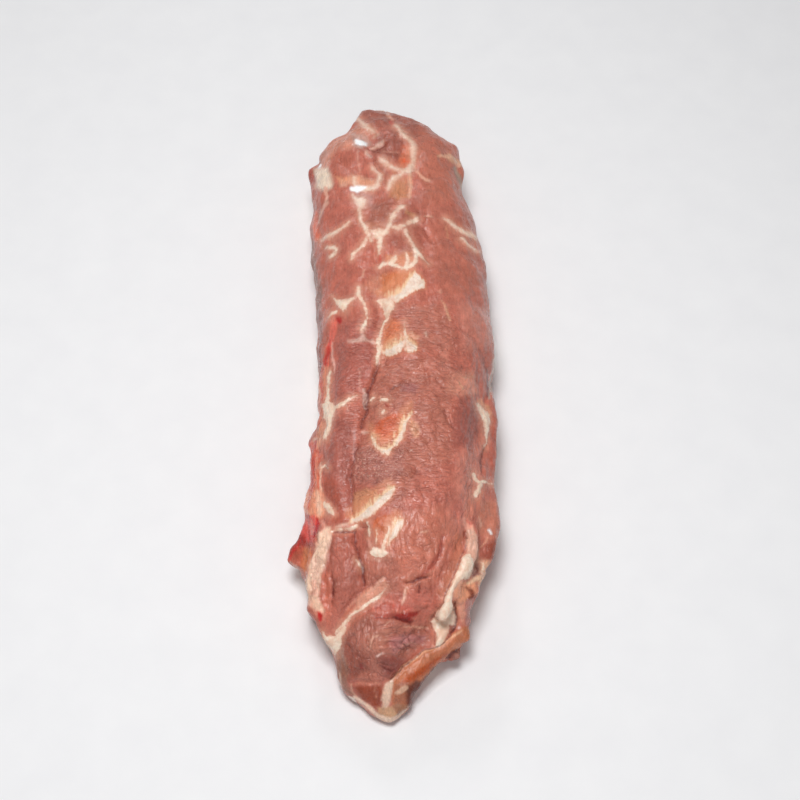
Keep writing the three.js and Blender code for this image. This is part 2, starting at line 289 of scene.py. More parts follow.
# The white torn rims of thin fans of fat: which way they fray, in pixels, and their outline
FAN_RIMS = {
    "one": ((-8, -5), [(413, 269.5), (418, 274), (422.5, 280.5), (424, 287), (417, 290), (410.5, 293.5),
        (403, 298), (396, 302), (388, 300), (386, 297), (392, 294), (397, 290.5), (402, 286.5),
        (406, 281.5), (409.5, 275.5)]),
    "two": ((-1, -7), [(381.5, 350.3), (385.5, 347.2), (393.3, 344.5), (400, 341), (404.4, 337.5),
        (404.8, 344), (400.8, 350.3), (397, 353.5), (389.4, 354.8), (383, 353.5)]),
    "tuft": ((0, -7), [(406.3, 341.5), (410.2, 340.5), (415.4, 344.5), (416.3, 350.3), (409, 352.4),
        (406, 349)]),
    "three": ((-1, -9), [(372, 434), (375, 440), (378.5, 444.5), (382, 447), (386, 448.5), (391, 445.5),
        (395, 440.5), (399, 434), (401.5, 427), (403, 420.5), (407, 416.5), (411.5, 412), (411, 416),
        (407, 421.5), (404.5, 429), (401.5, 437), (397, 443), (392, 448), (389, 455.5), (386.5, 454.5),
        (383, 453), (379, 449.5), (375, 444), (372, 438)]),
    "four": ((-4, -6), [(393, 487), (386, 491.5), (378.5, 497), (371, 503), (364, 509.5), (357, 514.5),
        (351.5, 517.5), (351, 523), (356, 522.5), (363, 520), (372, 514), (380, 506.5), (388, 501),
        (393, 494.5), (394.6, 489)]),
    "five": ((-3, -7), [(398, 517.5), (402.3, 518.8), (403.5, 523.5), (399.5, 529), (396.5, 536),
        (391.5, 540), (389.5, 545), (387, 545), (388.5, 538), (390.5, 531), (394, 524)]),
}

# Creases and furrows, also darkened with painted shade: how deep in millimetres, then the stroke
CREASES = {
    "centre_groove": (1.2, [(379.5, 362, 0.5), (375, 372.5, 0.6), (371, 383, 0.8), (368.5, 391, 1),
        (367.5, 397, 0.9), (366.5, 406, 0.8), (364.5, 416, 0.9), (361, 428, 0.5)]),
    "centre_above": (0.4, [(361, 280, 0.8), (362, 303, 0.8), (369, 318, 0.8), (366, 333, 0.8),
        (377, 350, 0.8)]),
    "lower_seam": (0.8, [(357, 445, 0.8), (354, 458, 0.8), (350.5, 472.5, 0.9), (350, 480, 1),
        (351.2, 488.5, 0.9), (352, 500, 0.8), (351.5, 514, 0.7)]),
    "arc": (0.5, [(441, 321.7, 0.6), (452, 325.6, 0.8), (462, 330, 0.8), (472.5, 336, 0.9),
        (479, 345, 0.9), (483, 355.5, 1.1), (486, 364, 1.4)]),
    "right_groove": (0.5, [(483, 360, 0.9), (487.5, 371, 1.8), (489.5, 383, 2.7), (488.5, 394, 2),
        (486.5, 402, 0.7)]),
    "right_seam": (0.7, [(485, 447, 0.9), (483.5, 455, 1.3), (482, 463, 1.4), (482, 472, 1)]),
    "cut": (0.9, [(333, 532.5, 0.7), (343, 531.5, 0.9), (356, 531.5, 0.9)]),
    "cut_right": (0.7, [(360, 526.8, 0.8), (368, 526.4, 0.8)]),
    "lower_groove": (1.1, [(355, 532.4, 0.7), (356.5, 544, 0.9), (359.4, 555.5, 0.9), (361.8, 563, 1.2),
        (363, 573, 1.6), (363, 585.7, 1)]),
    "left_groove": (0.8, [(331, 574.2, 0.6), (332.6, 583, 1.1), (332.4, 591.5, 1.4), (331.7, 599, 1.1),
        (331.5, 604.5, 0.6)]),
    "bulb_crease": (0.5, [(349, 624, 0.8), (357, 616.5, 0.9), (366, 611.5, 1), (378, 607, 1)]),
    "bulb_fold": (1, [(376, 617, 0.5), (386, 617.5, 0.7), (396, 618, 1.4), (405, 620.5, 1.6),
        (413, 622.5, 0.8)]),
    "flap_edge": (0.9, [(449, 637.5, 0.9), (440, 645, 0.9), (431.6, 647.5, 1), (424, 649.5, 1),
        (417, 656.5, 1), (409, 663.5, 1.1), (401, 669.5, 1.1), (395, 675.5, 1.1), (390.5, 680, 0.8)]),
    "flap_side": (1.4, [(466, 645, 0.9), (458, 652, 1.3), (449, 660, 1.3), (443, 665, 1)]),
    "stripe_side": (0.8, [(466, 534, 0.8), (467, 545, 0.9), (461, 556, 0.9), (456, 567, 1),
        (452, 579, 0.9), (447, 591, 0.9), (441, 602, 0.9), (434, 613, 0.9), (430.5, 621, 0.9),
        (434, 632, 0.8), (434, 643, 0.7)]),
    "cavity_shade": (0.4, [(475, 566, 1.4), (477.5, 570, 2.2), (474, 576, 1.4)]),
    "lump_nick": (1, [(453.5, 610, 0.7), (454.5, 616, 0.9)]),
    "lump_side": (1.2, [(455.5, 603, 0.6), (454.5, 611, 0.9), (455, 620, 1), (452, 629, 1.2),
        (448.5, 636, 0.9)]),
    "short_one": (0.8, [(389.4, 389.2, 0.6), (395.9, 386.6, 1), (401.1, 382.7, 1.1), (407.6, 379.5, 0.8),
        (412, 380, 0.5)]),
    "short_two": (0.5, [(414, 393, 0.5), (419.3, 390.5, 0.8), (424.5, 386.6, 0.8), (427, 380, 0.6),
        (427, 372, 0.6), (424.5, 364.5, 0.4)]),
    "short_three": (0.7, [(441, 404, 0.6), (446, 409, 0.8), (449, 421, 0.8), (456, 429, 0.7)]),
    "arc_small": (0.4, [(425.8, 359.4, 0.5), (432.3, 355.5, 0.6), (440, 355.5, 0.6), (446, 358, 0.5)]),
    "bulge_edge": (0.5, [(420, 465, 0.7), (417, 471, 1.3), (411.5, 478.5, 1.3), (406, 485, 0.8)]),
    "slope": (0.7, [(416, 222, 0.6), (423, 228, 0.8), (429, 235, 0.9), (434, 242, 0.5)]),
    "lower_dark_shade": (0.55, [(443.5, 536, 0.8), (442.3, 546.8, 1.1), (439.4, 555.5, 0.9), (433, 565.5, 0.9),
        (428.6, 570, 0.7)]),
    "lower_fold": (1.1, [(405, 583, 0.6), (413, 581.5, 0.9), (420, 578, 1), (428, 576.5, 0.8)]),
    "dash": (1.1, [(419.3, 585, 0.5), (419.2, 593, 0.8)]),
    "lobe_side": (0.5, [(367, 148, 0.8), (371, 156, 1.2), (374, 164, 1.3), (382, 174, 1),
        (384, 190, 0.9)]),
    "far_fold": (0.6, [(384, 144, 0.8), (379, 148.5, 1.1), (374, 151, 0.8)]),
    "knot": (0.6, [(372, 238, 0.8), (374.5, 250, 0.9), (377, 262, 0.7)]),
    "column_right": (0.5, [(331, 538, 0.7), (328.5, 552, 0.8), (326.5, 566, 0.8), (325, 580, 0.8),
        (326, 596, 0.7)]),
    "nick": (0.7, [(322, 469.5, 0.5), (324.6, 467, 0.6), (327, 470, 0.5)]),
    "right_notch": (0.6, [(439, 486.5, 0.6), (442, 484.5, 0.8), (446, 485, 0.4)]),
    "facet_upper": (0.5, [(354, 682.5, 0.7), (359.5, 681, 0.8), (368, 681, 0.8), (378, 684, 0.8),
        (382.5, 689, 0.7), (381.5, 703, 0.6)]),
    "bulb_hollow_shade": (0.4, [(380, 665, 1.6), (386, 669, 2.6), (391, 672, 2), (396, 667, 1.2)]),
    "tendon_upper": (0.5, [(385, 577.5, 0.6), (374, 582, 0.8), (363, 590, 0.8), (352, 602, 0.7),
        (343, 612, 0.6)]),
}

# Soft changes of colour over the flesh, laid on in this order. Their colours were set by measuring the
# picture's: (colour on a screen, softness in pixels, strength, stroke or patch)
WASHES = {
    "far_shade": ((166, 100, 86), 8, 0.85, [(361, 108), (400, 112), (440, 132), (440, 142), (408, 138),
        (396, 128), (376, 128), (362, 118)]),
    # Painted shade where the far end tilts away
    "far_middle_shade": ((158, 90, 76), 7, 0.85, [(380, 132), (396, 132), (405, 146), (402, 160), (386, 160),
        (372, 152)]),
    "far_left": ((222, 156, 136), 7, 0.85, [(324, 148), (342, 134), (360, 126), (370, 138), (352, 150),
        (338, 150), (328, 168), (318, 168)]),
    "far_right": ((196, 122, 104), 9, 0.8, [(420, 122), (448, 140), (464, 166), (464, 200), (428, 204),
        (418, 160)]),
    "round_lobe": ((190, 112, 96), 5, 0.9, [(331, 158), (345, 150), (356, 156), (358, 172), (345, 181),
        (333, 176)]),
    "mid_far_right": ((193, 119, 103), 12, 0.8, [(425, 200), (470, 210), (486, 290), (448, 300),
        (430, 270)]),
    "far_centre": ((164, 98, 80), 9, 0.8, [(368, 203), (392, 201), (392, 224), (370, 226)]),
    "crown_above": ((172, 104, 90), 7, 0.7, [(388, 212), (420, 210), (424, 250), (404, 256), (390, 246)]),
    "right_low_glow": ((218, 142, 126), 6, 0.7, [(446, 498), (468, 498), (468, 526), (460, 540),
        (444, 540)]),
    "right_edge": ((196, 120, 106), 5, 0.8, [(470, 232, 3), (480, 262, 4), (485, 290, 4), (489, 320, 3)]),
    "left_far": ((196, 117, 103), 8, 0.8, [(324, 196), (350, 196), (356, 240), (352, 290), (330, 296),
        (322, 250)]),
    "right_flank": ((212, 142, 128), 10, 0.7, [(456, 300), (490, 310), (494, 345), (484, 350),
        (462, 352)]),
    "upper_middle": ((194, 124, 108), 10, 0.8, [(400, 304), (450, 306), (456, 350), (410, 352)]),
    "left_muscle": ((186, 109, 98), 7, 0.85, [(337, 322), (374, 322), (374, 360), (364, 388), (334, 400),
        (333, 350)]),
    "middle_flesh": ((195, 124, 108), 12, 0.85, [(382, 362), (446, 356), (454, 400), (450, 480),
        (402, 500), (360, 480), (366, 410)]),
    "left_strip": ((176, 105, 95), 6, 0.85, [(334, 418), (352, 420), (353, 500), (350, 516), (334, 508),
        (324, 470)]),
    "speckled": ((178, 116, 106), 7, 0.8, [(356, 448), (402, 446), (404, 474), (388, 486), (352, 484)]),
    "right_tan": ((228, 160, 140), 6, 0.7, [(448, 372), (472, 372), (480, 394), (458, 396), (446, 390)]),
    "mauve": ((160, 94, 86), 13, 0.75, [(459, 398), (476, 400), (480, 430), (468, 452), (454, 446),
        (453, 424)]),
    "mauve_low": ((214, 142, 128), 12, 0.8, [(456, 452), (480, 446), (480, 474), (476, 512), (454, 512)]),
    "red_bulge": ((200, 122, 108), 8, 0.8, [(418, 470), (448, 460), (452, 500), (440, 520), (408, 520),
        (406, 496)]),
    "red_dark": ((184, 102, 92), 5, 0.5, [(452, 500), (462, 498), (462, 516), (452, 518)]),
    "lower_red": ((209, 131, 112), 14, 0.85, [(400, 516), (440, 506), (456, 536), (434, 580), (400, 590),
        (392, 560)]),
    "lower_right": ((204, 127, 104), 6, 0.85, [(455, 532), (463, 534), (464, 552), (454, 580), (441, 600),
        (436, 592), (449, 562)]),
    "lower_left": ((188, 112, 98), 8, 0.85, [(330, 538), (362, 536), (364, 590), (346, 610), (334, 606),
        (326, 560)]),
    "lower_middle": ((190, 120, 104), 6, 0.8, [(366, 558), (392, 552), (398, 590), (378, 604),
        (366, 592)]),
    "left_bottom": ((212, 120, 98), 6, 0.7, [(323, 574), (330, 572), (331, 604), (330, 626), (325, 620),
        (322, 596)]),
    "above_bulb": ((208, 124, 110), 6, 0.85, [(380, 596), (428, 590), (432, 606), (404, 612),
        (368, 612)]),
    "bulb": ((182, 116, 102), 5, 0.9, [(350, 624), (370, 613), (396, 620), (426, 624), (434, 640),
        (422, 647), (402, 664), (388, 681), (358, 677), (340, 684), (337, 661), (340, 642)]),
    "bulb_bright": ((198, 132, 114), 8, 0.85, [(366, 634), (388, 628), (392, 640), (380, 652),
        (366, 650)]),
    "bulb_left": ((152, 84, 70), 6, 0.75, [(337, 642), (348, 636), (356, 650), (368, 656), (370, 670),
        (352, 681), (339, 680)]),
    "bulb_lilac": ((198, 134, 134), 5, 0.8, [(389, 638), (401, 635), (424, 634), (424, 642), (404, 648),
        (392, 653)]),
    # Painted highlights along folds of the bulb
    "bulb_streak_highlight": ((226, 172, 156), 1.6, 0.8, [(401, 646, 0.4), (412, 643, 0.6), (420, 646, 0.4)]),
    # Painted shade in the bulb's hollow
    "bulb_hollow_shade": ((142, 72, 66), 7, 0.75, [(379, 657), (394, 655), (406, 660), (398, 674), (384, 678)]),
    "facet": ((152, 72, 50), 5, 0.95, [(356, 686), (366, 684.5), (382, 686), (383, 694), (381, 706),
        (372, 706), (362, 700)]),
    "facet_line": ((218, 152, 126), 1.4, 0.7, [(375.3, 686, 0.5), (375.5, 697, 0.5)]),
    "facet_top": ((220, 154, 132), 2.2, 0.7, [(357, 684, 0.5), (363, 681.5, 0.8), (370, 684, 0.6),
        (377, 682.5, 0.8), (381, 686, 0.5)]),
    "tip_left": ((160, 114, 98), 3, 0.85, [(337, 652), (343, 650), (348, 664), (347, 680), (352, 690),
        (356, 698), (345, 690), (338, 676)]),
    "tip_left_shine": ((220, 190, 172), 1.8, 0.8, [(341, 673, 0.6), (342, 682, 0.9), (343, 689, 0.7)]),
    "bulb_pink": ((196, 122, 104), 4, 0.8, [(359, 672), (373, 671), (380, 680), (372, 684), (358, 684)]),
    # Silver skin at the left edge, darkened with painted shade
    "silver_left_shaded": ((152, 106, 94), 4, 0.9, [(311, 243, 2), (312, 260, 3.2), (315, 275, 3.8),
        (319, 291, 3.6), (319, 306, 2.4), (317, 325, 1.4)]),
    "right_rim_shade": ((140, 78, 66), 4, 0.6, [(474, 216, 0.8), (482, 245, 1.4), (487, 270, 2.2),
        (491, 296, 2.2), (494, 320, 1.4)]),
    "left_shade": ((148, 82, 72), 2.5, 0.8, [(319, 312, 2.4), (321, 335, 2.4), (319, 355, 2.4),
        (319, 380, 1.4)]),
    "far_membrane": ((186, 164, 150), 2.5, 0.85, [(456, 168, 1.6), (459, 178, 2.2), (461.5, 189, 1.8)]),
    "left_blob": ((255, 240, 222), 6, 0.95, [(315, 170), (327, 168), (332, 176), (332, 187), (325, 191),
        (316, 188)]),
    "left_blob_tail": ((232, 180, 162), 2, 0.9, [(325, 188, 1.9), (326, 196, 1.6), (326, 202, 1.8),
        (323, 209, 1.6), (320.5, 217, 1.4), (319.5, 223, 0.8)]),
    "lobe_tan": ((230, 166, 134), 5, 0.85, [(335, 177), (348, 178), (360, 175), (374, 180), (375, 186),
        (340, 185)]),
    "lobe_spot": ((226, 176, 158), 3, 0.8, [(342, 185.5, 2.2), (345, 186, 1.6)]),
    "pink_spot": ((212, 146, 134), 3, 0.7, [(334, 191, 1.8), (335, 193, 1.2)]),
    # Painted sheen round the lower glint at the far end
    "far_lower_glint_sheen": ((204, 162, 160), 4, 0.6, [(351, 192), (362, 192), (374, 196), (373, 206), (362, 210),
        (354, 204)]),
    "glint_haze": ((204, 168, 160), 4, 0.8, [(352, 134), (366, 134), (372, 144), (362, 149), (352, 146)]),
    "far_hollow": ((160, 96, 82), 5, 0.7, [(373, 156), (390, 172), (388, 184), (381, 186), (379, 170)]),
    "far_fork": ((218, 176, 162), 2, 0.9, [(383, 141, 1.4), (377, 145, 1.9), (371, 149, 1.4)]),
    "far_fork_top": ((208, 164, 148), 2, 0.8, [(374, 138, 1.5), (379, 133, 1.2)]),
    "far_speck": ((228, 188, 176), 2.4, 0.9, [(366.5, 153, 2.2), (371, 157.5, 1)]),
    "far_streak": ((212, 154, 138), 2.5, 0.7, [(383, 152, 0.8), (391, 152, 1.2), (398, 152, 0.6)]),
    "far_long_top": ((222, 168, 148), 2.5, 0.9, [(388, 115.5, 2), (392, 120, 1.4)]),
    "far_orange": ((220, 128, 96), 6, 0.9, [(403, 147), (410, 146), (412, 164), (403, 168), (399, 162)]),
    "far_ember": ((226, 100, 68), 5, 0.85, [(405, 161, 2.2), (409, 162, 2)]),
    "far_tan": ((210, 146, 112), 6, 0.9, [(390, 184), (407, 178), (408, 197), (399, 201), (389, 197)]),
    "knot_down": ((228, 176, 152), 2, 0.95, [(410.5, 175, 2.2), (410, 185, 2), (409, 196, 1.6)]),
    "knot_right": ((234, 180, 158), 1.8, 0.9, [(417, 171, 1.2), (421.5, 175.5, 1.2), (426.5, 179.5, 2),
        (429, 180.5, 1.4)]),
    "knot_eye": ((206, 136, 100), 1.6, 0.8, [(393.5, 171.5, 1.2), (396, 174, 1)]),
    "lobe_hair": ((220, 158, 142), 2.2, 0.8, [(357, 151, 0.6), (358.5, 163, 1), (360, 172, 1)]),
    "far_red": ((200, 80, 70), 2.2, 0.9, [(391, 123, 1.8), (393, 125.5, 1.4)]),
    "right_upper": ((230, 180, 152), 2.4, 0.95, [(437, 156, 1), (443, 155.5, 1.4), (448, 156, 2.2),
        (453, 159.5, 3), (459, 163.5, 3.2)]),
    "red_nub": ((184, 92, 78), 2.5, 0.95, [(312, 172, 2.6), (313, 180, 2.6)]),
    "edge_orange": ((238, 122, 92), 3, 0.9, [(316, 213, 1.5), (315, 226, 3), (316, 238, 3.4)]),
    "edge_vessel": ((200, 84, 78), 1.6, 0.85, [(321, 241.5, 1.2), (327, 241.5, 1.5)]),
    "yoke_warm": ((198, 128, 102), 5, 0.8, [(366, 224), (384, 222), (384, 229), (368, 230)]),
    "far_dash": ((222, 170, 150), 1.6, 0.8, [(424.5, 215.3, 1), (432, 217, 0.8)]),
    "far_tan_streak": ((206, 148, 120), 2.4, 0.8, [(445.5, 227, 0.9), (448.5, 238, 0.9)]),
    "middle_red": ((156, 70, 60), 2, 0.8, [(402, 212, 1.5), (403, 214, 1)]),
    "middle_tan": ((206, 150, 116), 3, 0.8, [(406, 213, 2), (413, 216, 2.5)]),
    "crown_orange": ((216, 138, 100), 3, 0.9, [(386, 256), (413, 252), (414, 262), (404, 266),
        (388, 263)]),
    "knot_red": ((200, 66, 58), 1.8, 0.9, [(380, 256, 1), (380.7, 261, 1.6)]),
    "fan_one_tan": ((206, 138, 116), 7, 0.85, [(363, 286), (370, 277), (386, 272), (386, 298),
        (374, 295)]),
    "fan_one_orange": ((216, 132, 92), 8, 0.95, [(381, 277), (396, 270), (413, 268), (410, 280),
        (399, 291), (390, 298), (382, 292)]),
    "thread_pale": ((224, 172, 154), 1.8, 0.8, [(365, 270, 0.7), (362.5, 277, 1)]),
    "thread_twin": ((226, 184, 168), 1.6, 0.8, [(356, 290, 0.8), (355.3, 298, 1)]),
    "drip_red": ((190, 54, 52), 1.3, 0.95, [(384.5, 306.5, 1.4), (385.5, 308, 1.2)]),
    "right_hair": ((222, 172, 146), 1.6, 0.9, [(442, 301, 0.6), (445.5, 307.5, 1.1), (448, 314, 1.3),
        (449.5, 321, 1)]),
    "spot_pair": ((216, 160, 142), 2, 0.8, [(440, 291, 1.2), (441, 293, 0.8)]),
    "fan_two_orange": ((222, 130, 94), 4, 0.95, [(384, 324), (390, 320), (400, 320), (403, 334),
        (396, 341), (383, 344), (382, 334)]),
    "fan_two_pale": ((238, 194, 156), 3, 0.85, [(382, 347, 1.6), (388, 343, 2.2), (396, 340, 1.8)]),
    "tuft_warm": ((220, 156, 124), 2.6, 0.8, [(408, 336, 1.6), (412, 340, 2.4), (417, 342, 1.6)]),
    "tuft_hair": ((230, 186, 168), 1.4, 0.8, [(410.3, 332, 0.5), (413, 337.5, 0.7), (419, 336.5, 0.7)]),
    "fan_two_speck": ((234, 196, 184), 1.4, 0.9, [(425.8, 332.5, 1.3), (427, 336.5, 1)]),
    "veil": ((226, 190, 180), 2.2, 0.85, [(361, 324), (365, 323), (365.5, 329.5), (363.5, 333.5),
        (367, 338.5), (374, 338.5), (378, 342.5), (376, 345), (370, 340.5), (359.5, 341), (349, 342),
        (348, 340.5), (357, 338.5), (361, 336), (360, 329.5)]),
    "strip_red": ((228, 120, 106), 2.4, 0.95, [(335.5, 318, 3), (332.5, 330, 3.2), (330.5, 342, 3.2),
        (329, 354, 3.2), (327, 366, 2.6)]),
    "strip_knot": ((182, 48, 46), 2, 0.95, [(337, 317, 2.4), (340, 321.5, 2.6)]),
    "strip_core": ((196, 52, 46), 1.8, 0.8, [(330, 340, 1.2), (328.5, 350, 1.6), (326.5, 365, 1.6)]),
    "strip_orange": ((232, 142, 114), 2.4, 0.95, [(326.5, 370, 2), (326, 376, 2.4), (325, 388, 2.4),
        (324.5, 401, 2.2)]),
    "strip_left": ((218, 92, 70), 2.2, 0.9, [(322.5, 366, 1.6), (321.7, 380, 1.8), (321, 395, 1.8),
        (321.5, 408, 1.8)]),
    "strip_rim": ((244, 196, 176), 1.6, 0.8, [(319.3, 380, 0.7), (318.6, 392, 0.9), (319, 402, 0.6)]),
    "strip_foot": ((228, 118, 92), 3, 0.9, [(321, 411, 2.2), (320, 424, 2.6)]),
    "strip_warm": ((234, 168, 142), 2.4, 0.9, [(323, 424, 2), (320, 436, 3.4), (317, 446, 3)]),
    "strip_pale": ((236, 186, 176), 1.4, 0.9, [(333.2, 343, 0.7), (332.2, 352, 0.8), (333.6, 360, 1.2),
        (334, 368, 1.1), (334.6, 374, 0.7)]),
    "strip_dot": ((130, 30, 28), 1.6, 0.9, [(321, 364, 1), (320.6, 369.5, 1.4)]),
    "strip_nub": ((226, 196, 186), 1.4, 0.9, [(318, 374, 0.8), (318.3, 377, 0.8)]),
    "branch_drip": ((224, 180, 170), 1.4, 0.8, [(346.6, 404.8, 0.7), (348.5, 411, 0.7)]),
    "nub_loop": ((240, 204, 188), 1.3, 0.9, [(311.3, 447, 0.8), (313, 442.3, 1), (316, 438.6, 0.8)]),
    "nub_red": ((186, 54, 50), 1.8, 0.9, [(315, 441.5, 1.2), (315.5, 446, 1.6)]),
    "seam_patch": ((222, 192, 186), 1.8, 0.9, [(365.3, 389, 1), (365.6, 396, 2.2), (365.2, 401, 2.4),
        (364.7, 407, 1)]),
    "seam_hairs": ((214, 164, 152), 1.4, 0.7, [(359, 368, 0.5), (360, 380, 0.6), (361, 387, 0.6)]),
    "lilac": ((168, 106, 104), 4, 0.8, [(398, 386), (410, 382), (420, 384), (416, 392), (402, 392)]),
    "tan_line": ((216, 164, 138), 1.6, 0.8, [(463.5, 377.5, 0.6), (474, 377.5, 0.6)]),
    "tan_hook": ((224, 174, 148), 1.6, 0.9, [(460, 382.5, 0.8), (463.5, 389.5, 0.9)]),
    "tan_hair": ((214, 162, 140), 1.4, 0.7, [(469, 392, 0.4), (475, 398.5, 0.5)]),
    "blood_dot": ((170, 60, 52), 1.8, 0.9, [(385.5, 404, 1.2), (387, 407, 1.6)]),
    "flame_warm": ((222, 160, 128), 3, 0.85, [(481, 402, 2), (486, 408, 3.4), (489, 416, 2.4)]),
    "right_thin": ((182, 162, 152), 1.4, 0.9, [(493.6, 358, 0.9), (493, 372, 1.1), (491.6, 388, 1.1),
        (489.6, 398, 0.9)]),
    "right_rust": ((190, 100, 82), 3, 0.8, [(493, 404, 2), (493, 420, 2.6), (494, 444, 3),
        (493, 466, 2.4)]),
    "seam_fleck": ((226, 186, 174), 1.8, 0.85, [(364, 433.5, 1.4), (369, 432, 1.2)]),
    "seam_pink": ((204, 158, 156), 1.8, 0.85, [(354.6, 430, 0.8), (355.2, 437, 1.4), (354.6, 445, 1),
        (354, 455, 0.8), (354.6, 462, 1.2)]),
    "lilac_left": ((192, 134, 126), 4, 0.8, [(323, 444, 1.6), (325.5, 452, 2.4), (327, 462, 2)]),
    "rust_left": ((174, 92, 76), 4, 0.8, [(325, 476), (334, 480), (343, 500), (343, 519), (336, 518),
        (331, 503), (323, 490)]),
    "fan_three_orange": ((214, 110, 78), 4, 0.95, [(374, 424), (386, 416), (400, 414), (408, 411),
        (405, 420), (400, 432), (391, 440), (382, 442), (376, 436)]),
    "fan_three_ochre": ((230, 168, 136), 3, 0.85, [(408, 422), (412, 419), (418, 424), (420, 432),
        (419.5, 438), (414, 437), (410, 431)]),
    "fleck": ((232, 190, 176), 1.2, 0.8, [(410.5, 451, 0.5), (414, 448.5, 0.6)]),
    "left_orange": ((224, 92, 68), 4, 0.95, [(302, 447), (312, 441), (319, 450), (321.5, 470), (321, 488),
        (315, 494), (298, 494), (300, 470)]),
    "left_edge_red": ((206, 66, 44), 3, 0.8, [(308.5, 446, 1.5), (308.5, 470, 2), (308, 486, 2),
        (303, 500, 2.5), (301, 512, 2)]),
    "left_peach": ((242, 148, 120), 2.6, 0.85, [(317, 452, 1.2), (317.3, 470, 1.8), (316, 485, 2.2),
        (314, 494, 2.2)]),
    "left_cream_line": ((255, 216, 194), 1.6, 0.9, [(321, 463, 0.6), (320.6, 475, 1), (320.4, 486, 1),
        (321, 496, 0.8)]),
    "left_red_line": ((204, 78, 64), 2, 0.8, [(313, 450, 1), (313.3, 470, 1.2), (313, 484, 1)]),
    "left_wide": ((255, 174, 142), 5, 0.95, [(300, 494), (308, 490), (321, 489), (325, 498), (326, 508),
        (325, 516), (318, 519), (306, 517), (297, 513)]),
    "left_wide_pale": ((255, 216, 192), 4, 0.9, [(317, 490, 1), (318.5, 500, 2.4), (319.5, 508, 3),
        (319.5, 514, 1.8)]),
    "left_wide_edge": ((226, 104, 80), 3, 0.85, [(311, 488, 1.2), (308.5, 498, 2), (307.5, 508, 2.2)]),
    "fan_four_ochre": ((208, 146, 114), 4, 0.9, [(353, 493), (366, 488), (377, 490), (373, 500),
        (364, 510), (352, 517)]),
    "fan_four_hair": ((232, 186, 158), 1.6, 0.8, [(376.5, 490, 0.6), (374.5, 498, 0.8)]),
    "cut_upper": ((234, 196, 178), 1.6, 0.9, [(337, 527.5, 0.8), (345, 525.5, 1), (352, 523.5, 1.4)]),
    "rust_mid": ((186, 92, 72), 3, 0.7, [(330, 515), (338, 518), (352, 522), (345, 524), (332, 522)]),
    "fan_five_orange": ((204, 110, 74), 3, 0.95, [(373, 520), (380, 516), (392, 514), (398, 519),
        (394, 525), (389, 534), (386, 545), (378, 545), (374, 537), (372, 528)]),
    "fan_five_pale": ((234, 176, 150), 2.6, 0.8, [(396, 519, 1.6), (391, 530, 1.8), (386, 542, 1.8)]),
    "blood_pink": ((232, 92, 84), 4, 0.95, [(298, 519), (316, 515), (319, 528), (316, 538), (311, 545),
        (304, 540), (297, 534)]),
    "blood_pale": ((246, 164, 150), 1.8, 0.7, [(312, 519, 0.6), (312, 534, 0.9)]),
    "blood_edge": ((196, 16, 24), 2, 0.95, [(306.5, 515, 1.5), (308.5, 516.8, 1.6)]),
    "blood_halo": ((246, 176, 160), 2.4, 0.8, [(322, 521, 1), (326, 527, 1.6), (322, 534, 1.6)]),
    "blood_run": ((186, 4, 16), 1.8, 0.98, [(317.2, 518.5, 0.8), (318, 524, 1.4), (317.2, 529, 2.4),
        (314.5, 536, 1.3)]),
    "lobe_red": ((160, 50, 44), 6, 0.95, [(298, 532), (306, 536), (309, 545), (306, 552), (296, 554),
        (289, 556), (291, 544)]),
    "lobe_middle": ((188, 96, 76), 9, 0.9, [(297, 546), (308, 546), (309, 560), (303, 566), (295, 562),
        (291, 558)]),
    "lobe_ochre": ((224, 138, 94), 6, 0.85, [(304, 548), (310, 548), (309.5, 574), (305, 574),
        (301, 566)]),
    "lobe_lip": ((214, 178, 170), 1.6, 0.9, [(290.5, 562.5, 0.7), (296, 567, 1.4), (301, 574, 1)]),
    "lobe_edge": ((196, 56, 54), 1.8, 0.85, [(299, 540, 1), (293, 552, 1.2), (290, 559, 1.4)]),
    "column": ((255, 222, 200), 4, 0.95, [(316, 545), (321, 534), (326, 527), (331, 527), (331, 536),
        (328, 545), (325, 558), (322.5, 570), (320, 582), (318, 598), (320, 612), (316, 611), (309, 604),
        (305, 594), (304, 584), (309, 573), (311, 560)]),
    "column_lilac": ((244, 206, 188), 4, 0.85, [(314, 556), (322, 559), (320.5, 578), (314, 590),
        (311, 576)]),
    "column_pink": ((236, 164, 144), 4, 0.6, [(309, 590), (314, 592), (320, 604), (325, 616), (323, 622),
        (315, 616), (309, 602)]),
    "column_middle": ((224, 164, 144), 3, 0.7, [(312.5, 583, 2.4), (315.5, 593, 2.8)]),
    "column_foot": ((255, 216, 192), 3, 0.9, [(314.5, 598, 2.2), (317, 605, 3.8), (320.5, 610, 3)]),
    "column_red": ((206, 20, 28), 1.8, 0.95, [(318.8, 612, 1.2), (319.8, 616, 2.2), (321, 620, 1.4)]),
    "left_brown": ((168, 92, 76), 2.4, 0.8, [(304, 598, 1), (306, 610, 1.8), (309, 621, 2),
        (314, 629, 1.4)]),
    "foot_line": ((196, 104, 94), 1.3, 0.85, [(321.5, 627.5, 0.6), (328, 632.3, 0.7), (337, 631.5, 0.6)]),
    "tendon": ((234, 166, 144), 3, 0.9, [(341, 620), (347, 610), (356, 599), (366, 590), (384, 578),
        (388, 584), (378, 594), (364, 604), (350, 615)]),
    "tendon_low": ((194, 98, 74), 3, 0.95, [(343, 618, 1.5), (350, 611, 2), (355, 605, 1.6)]),
    "tendon_shine": ((238, 186, 166), 2, 0.7, [(383, 578, 0.8), (374, 588, 1.2), (364, 597, 1.2)]),
    "pad_tail": ((214, 172, 162), 1.8, 0.8, [(375, 558, 1.2), (380, 560, 0.8)]),
    "pale_pair": ((226, 176, 156), 2, 0.7, [(421, 532, 1), (427, 532, 1)]),
    "pale_streak": ((226, 156, 132), 4, 0.7, [(408, 580, 1.6), (407, 592, 2)]),
